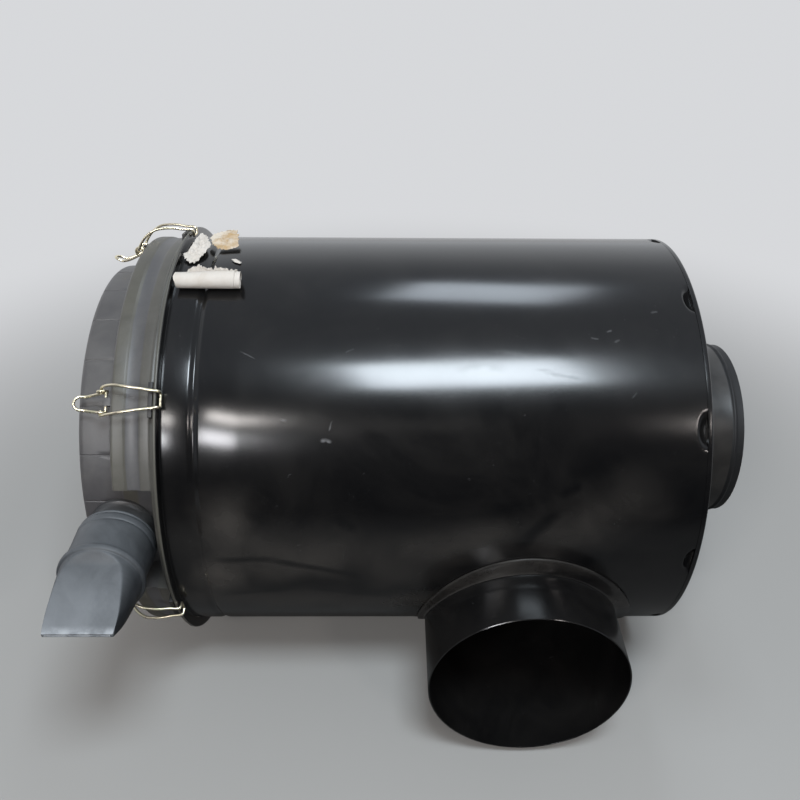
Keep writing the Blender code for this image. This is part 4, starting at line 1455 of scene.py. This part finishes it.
@dataclass
class Clips:
    """Six sprung wire clips with their lugs and keepers."""

    axis: Axis
    count: int = 6
    angle: float = math.radians(42)
    wire: float = 0.0014
    pivot: Place = (-0.0497, 0.2164)
    crank_angle: float = math.radians(198)
    crank: float = 0.0057
    eye: float = 0.0044
    eye_offset: float = 0.0100
    eye_sweep: float = math.radians(425)
    eye_steps: int = 22
    lever_half: float = 0.0068
    tip: Place = (-0.0842, 0.2068)
    kink: Place = (-0.0745, 0.2035)
    bail_half: float = 0.0135
    end_half: float = 0.0078
    band: float = 0.225
    step: float = 0.0435
    crest: float = 0.23805
    hook: Place = (0.0064, 0.2318)
    bow: tuple[Place, ...] = (
        (-0.0500, 0.2255, 0.0138), (-0.0435, 0.2332, 0.0138), (-0.0350, 0.2388, 0.0134),
        (-0.0260, 0.2407, 0.0121), (-0.0150, 0.2409, 0.0104), (-0.0050, 0.2395, 0.0091),
    )
    low_bow: tuple[Place, ...] = (
        (-0.0500, 0.2230, 0.0138), (-0.0435, 0.2288, 0.0138), (-0.0350, 0.2336, 0.0134),
        (-0.0230, 0.2360, 0.0118), (-0.0120, 0.2370, 0.0100), (-0.0040, 0.2376, 0.0090),
    )
    lowest: int = 5
    lug_half: float = 0.0042
    lug_hole: float = 0.0017
    lug_wall: float = 0.0022
    keeper_half: float = 0.017
    keeper_thickness: float = 0.0042
    edge: float = 0.00045
    sides: int = 14

    @staticmethod
    def _spot(centre: Place, reach: float, turn: float) -> Place:
        """(station, radius) of a point round a clip's own centre."""
        return centre[0] + reach * math.cos(turn), centre[1] + reach * math.sin(turn)

    def lever_path(self) -> list[Vector]:
        """Lay out half of a lever: half its bar, an eye and half the handle's loop.

        Returns:
            Points as (station, radius, side), up to the handle's tip.
        """
        eye = self._spot(self.pivot, self.eye, self.crank_angle)
        half = [Vector((*self.pivot, side)) for side in (0.0002, self.eye_offset - 3.2 * self.wire)]
        for share in shares(self.eye_steps):
            spot = self._spot(eye, self.eye, self.crank_angle + math.pi - self.eye_sweep * share)
            half.append(Vector((*spot, self.eye_offset + self.wire * 1.3 * (share - 0.5))))
        leave, kink, tip, wide = half[-1], self.kink, self.tip, self.lever_half
        run = [
            leave, Vector((leave.x - 0.0042, leave.y - 0.0012, self.eye_offset - 0.0004)),
            Vector((-0.0668, 0.2052, self.eye_offset * 0.35 + wide * 0.65)), Vector((*kink, wide)),
        ]
        slope = (tip[1] - kink[1]) / (tip[0] - kink[0])
        for turn in (QUARTER * share for share in shares(5)[1:]):
            station = tip[0] + wide - wide * math.sin(turn)
            run.append(Vector((station, kink[1] + slope * (station - kink[0]), wide * math.cos(turn))))
        return half + through(run, 5)[1:]

    def bail_path(self, bow: Sequence[Place]) -> list[Vector]:
        """Lay out half of a bail, from one eye over the ring to the hook.

        Args:
            bow: (station, radius, side) of the wire from the eye to the hook.

        Returns:
            Points as (station, radius, side).
        """
        pin, wire = self._spot(self.pivot, self.crank, self.crank_angle), self.wire
        wide, narrow, bend, hook = self.bail_half, self.end_half, 2 * self.wire, self.hook[0]
        points = [(*pin, wide - bend), (pin[0] + bend / 4, pin[1] + bend * 0.8, wide), *bow]
        points += [
            (hook - bend * 0.8, self.crest + wire * 0.7, narrow),
            (hook, self.crest - bend * 0.6, narrow - wire * 0.2), (*self.hook, narrow - bend / 2),
        ]
        return [Vector((*pin, self.eye_offset - 1.5 * wire))] + through([Vector(spot) for spot in points], 6)

    def _lug(self) -> list[Place]:
        """Lay out a lug that holds the lever's bar.

        Returns:
            Outline of (station, radius).
        """
        (station, radius), hole = self.pivot, self.lug_hole
        wall, root = hole + self.lug_wall, -self.step - GAP
        top = min(radius + wall, self.band - 0.003)
        return [
            (root, radius - wall), (station - hole, radius - wall), (station - hole, radius - hole),
            (root - GAP, radius - hole), (root - GAP, radius + hole), (station - hole, radius + hole),
            (station - hole, top), (root, top),
        ]

    def build(self, wire: Material, lug: Material, keeper: Material) -> None:
        """Make every clip.

        Args:
            wire: Plating of the levers and bails.
            lug: Plastic of the lugs.
            keeper: Paint of the keepers.
        """
        low, top, back = self.band + 0.0005, self.crest - self.wire - 0.001, -GAP - self.keeper_thickness
        block = [(-GAP, low), (-GAP, top), (back, top), (back, low)]
        blocks = (
            ("pivot_lug", "clip_lug", self._lug(), self.lug_half, lug, "cover"),
            ("hook_keeper", "keeper", block, self.keeper_half, keeper, "trim"),
        )
        for tag in range(1, self.count + 1):
            angle = self.angle + FULL_TURN * (tag - 1) / self.count
            lever, bail = self.lever_path(), self.bail_path(self.low_bow if tag == self.lowest else self.bow)
            for kind, half, middle in (("lever", lever, lever[:-1]), ("bail", bail, bail)):
                path = half + [Vector((p.x, p.y, -p.z)) for p in reversed(middle)]
                shape = Shape.wire([self.axis.at(p.x, p.y, angle, p.z) for p in path], self.wire, self.sides)
                body = f"{kind}_{tag}"
                make_piece(f"wire_{body}", shape, wire, "wire", f"clip_{body}", body=body)
            for name, node, outline, half, finish, slot in blocks:
                corners = [self.axis.at(s, r, angle, side) for side in (-half, half) for s, r in outline]
                shape = Shape.rod(corners, len(outline)).rounded(self.edge)
                make_piece(f"{name}_{tag}", shape, finish, slot, f"{node}_{tag}")


@dataclass(frozen=True)
class Scrap:
    """A torn piece of paper: its outline as (station, angle in degrees, lift) and its creases."""

    name: str
    outline: tuple[Place, ...]
    crumple: float
    seed: float


SCRAPS = (
    Scrap("label_scrap_white", (
        (0.0046, 87.8, 0.0045), (0.0093, 88.6, 0.0051), (0.0115, 91.4, 0.0069), (0.0127, 95.6, 0.0092),
        (0.0157, 98.6, 0.0105), (0.0214, 98.3, 0.0103), (0.0273, 94.7, 0.0087), (0.0321, 91.5, 0.0069),
        (0.0286, 89.6, 0.0057), (0.0250, 87.0, 0.0039), (0.0211, 84.8, 0.0023), (0.0141, 84.4, 0.0019),
        (0.0091, 85.7, 0.0030),
    ), 0.0030, 3.7),
    Scrap("label_scrap_tan", (
        (0.0272, 96.8, 0.0082), (0.0306, 99.0, 0.0102), (0.0374, 100.2, 0.0112), (0.0455, 101.2, 0.0120),
        (0.0543, 101.3, 0.0120), (0.0581, 96.5, 0.0076), (0.0596, 93.2, 0.0038), (0.0520, 92.2, 0.0025),
        (0.0447, 91.7, 0.0020), (0.0380, 92.3, 0.0028), (0.0343, 93.3, 0.0041), (0.0303, 94.5, 0.0056),
    ), 0.0016, 8.2),
    Scrap("label_chip", (
        (0.0559, 86.4, 0.0012), (0.0605, 86.6, 0.0012), (0.0672, 84.9, 0.0009), (0.0659, 84.3, 0.0008),
        (0.0603, 85.0, 0.0009),
    ), 0.0002, 1.4),
)


@dataclass
class LabelRemnant:
    """What is left of a torn paper label: a curled strip, two lifted scraps and a chip."""

    shell: Shell
    curl_radius: float = 0.0092
    curl_sweep: float = math.radians(350)
    lip_share: float = 0.3
    paper: float = 0.0004
    start: float = 0.0100
    length: float = 0.0612
    angle: float = math.radians(74.8)
    steps: int = 72
    columns: int = 120
    scrap_rings: int = 22
    scrap_columns: int = 96
    lip: tuple[Place, ...] = (
        (0.0, 0.004), (0.10, 0.008), (0.16, 0.0125), (0.24, 0.0150), (0.32, 0.0172),
        (0.40, 0.0160), (0.50, 0.0132), (0.565, 0.0125), (0.595, 0.0172), (0.63, 0.0140),
        (0.72, 0.0128), (0.84, 0.0118), (0.93, 0.0105), (1.0, 0.006),
    )

    def _over(self, station: float, height: float, side: float, angle: float = 0.0) -> Vector:
        """Point over the body, sideways from an angle along the sheet."""
        radius = self.shell.radius
        return self.shell.axis.at(station, radius + GAP + height, angle + side / radius)

    def _torn(self, along: float) -> float:
        """Find the height of the torn lip.

        Args:
            along: Share of the strip's length.

        Returns:
            The height.
        """
        for (a, low), (b, high) in zip(self.lip, self.lip[1:]):
            if along <= b:
                return low + (high - low) * (along - a) / (b - a) + 0.0011 * rough(along * 42.0, 4.3, 0.0)
        return self.lip[-1][1]

    def _rolled(self, along: float, share: float) -> Place:
        """Find a point of the rolled strip, whose first part is the torn, crumpled lip behind it.

        Args:
            along: Share of the strip's length.
            share: Share of its width, from the lip's edge into the roll.

        Returns:
            The point as (station, height, sideways).
        """
        station = self.start + self.length * along
        if share < self.lip_share:
            back = 1 - share / self.lip_share
            crease = (rough(along * 19, back * 2.2, 2.0) + 0.6 * rough(along * 45, back * 5, 7.0)) * back
            height = max(0.0005, self._torn(along) * back ** 1.3 + 0.0016 * crease)
            side = 0.006 * min(1.0, back * 2.5) + 0.0055 * back + 0.0018 * crease
            return station + 0.0009 * crease, height, side
        radius = self.curl_radius * (0.86 + 0.14 * rise(along, 0.0, 0.9)) - 0.0007 * rise(along, 0.905, 0.915)
        inward = (share - self.lip_share) / (1 - self.lip_share)
        turn, shrink = inward * self.curl_sweep, radius * (1 - 0.10 * inward)
        height = 0.0005 + shrink * (1 - math.cos(turn))
        widen = (height / (2 * self.curl_radius)) * (0.0058 * along - 0.0038)
        edge = rise(1 - along, 0.0, 0.05) * rise(along, 0.0, 0.05)
        ragged = 0.0007 * rough(turn * 1.3, along * 40, 6.0) * (1 - edge)
        return station + widen + ragged, height, -shrink * math.sin(turn)

    def _roll(self, finish: Material) -> None:
        """Make the rolled strip as a thin closed sheet.

        Args:
            finish: Its paper.
        """
        count, columns = self.columns + 1, self.steps + 1
        front = [
            self._over(*self._rolled(along, share), self.angle)
            for along in shares(self.columns) for share in shares(self.steps)
        ]
        back = []
        for i in range(count):
            for j in range(columns):
                along = front[min(i + 1, count - 1) * columns + j] - front[max(i - 1, 0) * columns + j]
                across = front[i * columns + min(j + 1, columns - 1)] - front[i * columns + max(j - 1, 0)]
                back.append(front[i * columns + j] + along.cross(across).normalized() * self.paper)
        sheet, total = Shape(front + back), count * columns
        sheet.weave(count, columns, ring=False)
        sheet.weave(count, columns, start=total, ring=False)
        border = [*range(columns), *(i * columns + columns - 1 for i in range(1, count))]
        border += [*(total - 2 - j for j in range(columns - 1)), *(i * columns for i in range(count - 2, 0, -1))]
        for a, b in zip(border, border[1:] + border[:1]):
            sheet.faces.append((a, b, b + total, a + total))
        make_piece("label_roll", sheet, finish, "label", "label_curl", sharp=1.1)

    def _scrap(self, scrap: Scrap, finish: Material) -> None:
        """Make a torn scrap as a thin closed sheet whose lifted points rise from its lower edge.

        Args:
            scrap: Its outline and lift.
            finish: Its paper.
        """
        rings, count, outline, seed = self.scrap_rings, self.scrap_columns, scrap.outline, scrap.seed
        middle = [sum(corner[k] for corner in outline) / len(outline) for k in range(3)]
        spots = []
        for share in (0.02 + 0.98 * even for even in shares(rings)):
            for j in range(count):
                step = j / count * len(outline)
                k = int(step)
                a, b = outline[k], outline[(k + 1) % len(outline)]
                torn = 1 + (0.13 * rough(j * 0.5, seed, 1.0) + 0.10 * rough(j * 1.3, seed, 5.0)) * share
                station, turn, lift = (
                    middle[n] + (a[n] + (b[n] - a[n]) * (step - k) - middle[n]) * share * torn for n in range(3)
                )
                crease = rough(station * 130, turn * 0.38, seed)
                crease += 0.6 * rough(station * 330, turn * 0.9, seed + 4)
                height = max(0.0006, lift + scrap.crumple * crease * (1.25 - share ** 3))
                spots.append((station, height, math.radians(turn) * self.shell.radius))
        total = len(spots)
        sheet = Shape([
            self._over(station, height + lift, side)
            for lift in (0.0, self.paper) for station, height, side in spots
        ])
        for start in (0, total):
            sheet.weave(rings + 1, count, start)
        sheet.join(rings * count, total + rings * count, count)
        for start in (0, total):
            sheet.fan(sum(sheet.verts[start:start + count], Vector()) / count, start, count)
        make_piece(scrap.name, sheet, finish, "label", sharp=0.6)

    def build(self, printed: Material, adhesive: Material) -> None:
        """Make the remnant.

        Args:
            printed: Paper of the pale side.
            adhesive: Paper of the tan side.
        """
        self._roll(printed)
        for scrap, finish in zip(SCRAPS, (printed, adhesive, printed)):
            self._scrap(scrap, finish)


# ---- light, floor and camera ----


@dataclass(frozen=True)
class Lamp:
    """Soft rectangular lamp that looks at a target."""

    name: str
    place: Place
    size: tuple[float, float]
    power: float
    colour: Colour
    target: Place = (0.0, 0.0, 0.25)

    def build(self) -> None:
        """Make the lamp."""
        data = bpy.data.lights.new(self.name, "AREA")
        data.shape = "RECTANGLE"
        data.size, data.size_y = self.size
        data.energy, data.color = self.power, self.colour
        made = bpy.data.objects.new(self.name, data)
        made.location = self.place
        made.rotation_euler = (Vector(self.target) - Vector(self.place)).to_track_quat("-Z", "Y").to_euler()
        bpy.context.scene.collection.objects.link(made)


@dataclass(frozen=True)
class Studio:
    """Pale floor that runs into a plain pale background, soft lamps and the camera."""

    floor_size: float = 30.0
    floor_colour: Colour = (0.38, 0.37, 0.355)
    floor_shade: float = 0.92
    # Share of the floor's colour that gloss rays see: painted shade in the housing's reflections.
    floor_reflected_shade: float = 0.26
    floor_fade: tuple[float, float] = (0.55, 1.35)
    pale: Colour = (0.68, 0.69, 0.71)
    wall: Colour = (0.90, 0.93, 0.97)
    ceiling: Colour = (0.47, 0.50, 0.55)
    front: Colour = (0.022, 0.022, 0.024)
    ambient: Colour = (0.26, 0.26, 0.265)
    camera_place: Place = (-0.04321, -0.77089, 0.83814)
    camera_turn: Place = (55.585, -0.5571, -0.5698)
    lens: float = 37.612
    sensor: float = 36.0
    lamps: tuple[Lamp, ...] = (
        Lamp("ceiling_front", (0.24, -1.03, 2.45), (0.84, 0.58), 43.0, (0.82, 0.92, 1.0)),
        Lamp("ceiling_back", (0.31, 1.06, 2.42), (0.64, 0.56), 9.6, (0.80, 0.90, 1.0)),
        Lamp("window_high", (-0.95, -2.2, 2.12), (0.72, 0.24), 14.5, (1.0, 0.965, 0.93)),
        Lamp("window_low", (-1.00, -2.2, 1.50), (0.66, 0.31), 19.0, (0.96, 0.965, 1.0)),
        Lamp("side_glow", (1.49, -2.2, 1.98), (0.30, 0.20), 6.2, (1.0, 0.92, 0.88)),
    )

    def build(self) -> None:
        """Make the floor, the lamps, the world and the camera."""
        half = self.floor_size / 2
        mesh = bpy.data.meshes.new("floor")
        rim = [(-half, -half, 0), (half, -half, 0), (half, half, 0), (-half, half, 0)]
        mesh.from_pydata(rim, [], [(0, 1, 2, 3)])
        mesh.materials.append(self._ground())
        floor = bpy.data.objects.new("floor", mesh)
        bpy.context.scene.collection.objects.link(floor)
        for lamp in self.lamps:
            lamp.build()
        self._world()
        self._camera()

    def _ground(self) -> Material:
        """Build the floor's finish, which passes into the background far out for the camera and for gloss, and
        which gloss rays see darker as painted shade.

        Returns:
            The material.
        """
        tree = Surface("floor_matte", specular=0.3)
        cloud = tree.cloud(tree.where, 1.6, 4.0, 0.5)
        darker = tuple(value * self.floor_shade for value in self.floor_colour)
        # Painted shade in reflections: gloss rays see the floor darker, standing in for the shadow under the
        # housing.
        reflected_floor_shade = tuple(value * self.floor_reflected_shade for value in self.floor_colour)
        shade = tree.mix(cloud.band(0.3, 0.7, 0.0, 0.2), self.floor_colour, darker)
        made = tree.finish(tree.mix(tree.ray("Glossy"), shade, reflected_floor_shade), cloud.band(0.2, 0.8, 0.6, 0.75))
        far = tree.add("ShaderNodeVectorMath", {0: tree.where}, "Value", operation="LENGTH")
        gloss = tree.mix(tree.split(tree.where)[1].band(-0.9, 0.6), self.front, self.pale)
        colour = tree.mix(tree.ray("Camera"), gloss, self.pale)
        plain = tree.add("ShaderNodeEmission", {"Color": colour, "Strength": 1.0})
        share = far.band(*self.floor_fade) * tree.seen()
        both = tree.add("ShaderNodeMixShader", {0: share, 1: Value(tree, tree.shader.outputs[0]), 2: plain})
        tree.join(both, tree.tree.nodes["Material Output"].inputs["Surface"])
        return made

    def _world(self) -> None:
        """Plain grey light, a pale background, and a room with a dim ceiling and front for gloss."""
        world = bpy.data.worlds.new("studio")
        bpy.context.scene.world = world
        world.use_nodes = True
        world.node_tree.nodes.clear()
        tree = Tree(world.node_tree)
        _, back, up = tree.split(tree.add("ShaderNodeTexCoord", out="Generated"))
        room = tree.mix(back.band(-0.72, -0.30), self.front, self.ceiling)
        walled = tree.mix(up.band(0.80, 0.35) * back.band(-0.25, 0.15), room, self.wall)
        seen = tree.mix(tree.ray("Camera"), walled, self.pale)
        light = tree.add("ShaderNodeBackground", {"Color": self.ambient, "Strength": 1.0})
        view = tree.add("ShaderNodeBackground", {"Color": seen, "Strength": 1.0})
        both = tree.add("ShaderNodeMixShader", {0: tree.seen(), 1: light, 2: view})
        tree.node("ShaderNodeOutputWorld", {"Surface": both})

    def _camera(self) -> None:
        """Camera at the photograph's place."""
        data = bpy.data.cameras.new("camera")
        data.lens, data.sensor_width = self.lens, self.sensor
        data.clip_start, data.clip_end = 0.01, 100.0
        made = bpy.data.objects.new("camera", data)
        made.location = self.camera_place
        made.rotation_euler = Euler([math.radians(turn) for turn in self.camera_turn])
        bpy.context.scene.collection.objects.link(made)
        bpy.context.scene.camera = made


def dress_nodes(frame: dict, finishes: dict[str, Material]) -> None:
    """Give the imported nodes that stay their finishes.

    Args:
        finishes: Material for each node's name.
    """
    for name, finish in finishes.items():
        node = frame["nodes"][name]
        node.data.materials.clear()
        node.data.materials.append(finish)
        LOG.info("%s: dressed with %s", name, finish.name)


def corners(bounds: tuple[Vector, Vector]) -> list[list[float]]:
    """Two corners as plain lists."""
    return [[float(value) for value in corner] for corner in bounds]


def main() -> None:
    """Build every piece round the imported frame."""
    logging.basicConfig(level=logging.INFO, format="%(message)s")
    bpy.context.scene.view_settings.view_transform = "Standard"
    for old in list(bpy.data.objects):
        bpy.data.objects.remove(old, do_unlink=True)
    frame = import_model()
    axis = Axis.of_frame()
    Effects.build()

    shell_paint = Enamel("shell_enamel", marks=DRUM_MARKS).build(axis)
    pipe_paint = Enamel("pipe_enamel", film=0.05, smears=0.03, shift=1.3).build(axis)
    stub_paint = Enamel(
        "stub_enamel", film=0.26, smears=0.16, roughness=0.28, shift=2.1, zone=(0.6018, 0.7),
        zone_colour=(0.005, 0.005, 0.0055),
    ).build(axis)
    ring_paint = Enamel("ring_enamel", film=0.22, smears=0.14, wave=0.0, shift=3.7).build(axis)
    joint_paint = Enamel("joint_enamel", film=0.05, wave=0.0, shift=4.4, zone=(-0.01, 0.0031)).build(axis)
    inner_paint = Enamel("inner_enamel", film=0.1, smears=0.1, roughness=0.4, wave=0.0, shift=5.2).build(axis)
    plastic = MouldedPlastic("cover_plastic", axis.joint).build()
    neck_plastic = MouldedPlastic("neck_plastic", axis.joint, (0.026, 0.027, 0.030), ()).build()
    valve = DustValve(axis)
    rubber = Rubber("valve_rubber", lip=axis.y - valve.end).build()
    seal = Rubber("seal_rubber", base=(0.018, 0.018, 0.018), dust=(0.12, 0.11, 0.1)).build()
    zinc = YellowZinc("yellow_zinc").build()
    printed = TornPaper("label_face", (0.62, 0.575, 0.525), (0.50, 0.43, 0.35), 0.30).build()
    adhesive = TornPaper("label_back", (0.64, 0.57, 0.48), (0.44, 0.28, 0.12), 0.9, 42.0).build()
    medium = PleatedMedium("filter_medium").build(axis)

    shell = Shell(axis)
    inlet = Inlet(shell)
    inlet.cut(shell.build(shell_paint))
    inlet.build(pipe_paint, ring_paint)
    Ends(shell).build(joint_paint, ring_paint, stub_paint)
    DustCover(axis).build(plastic, neck_plastic)
    valve.build(rubber)
    Clips(axis).build(zinc, plastic, inner_paint)
    LabelRemnant(shell).build(printed, adhesive)
    dress_nodes(frame, {
        "guard_sleeve": inner_paint, "filter_element": medium, "element_cap": seal, "cover_gasket": seal,
    })
    Studio().build()


if __name__ == "__main__":
    main()
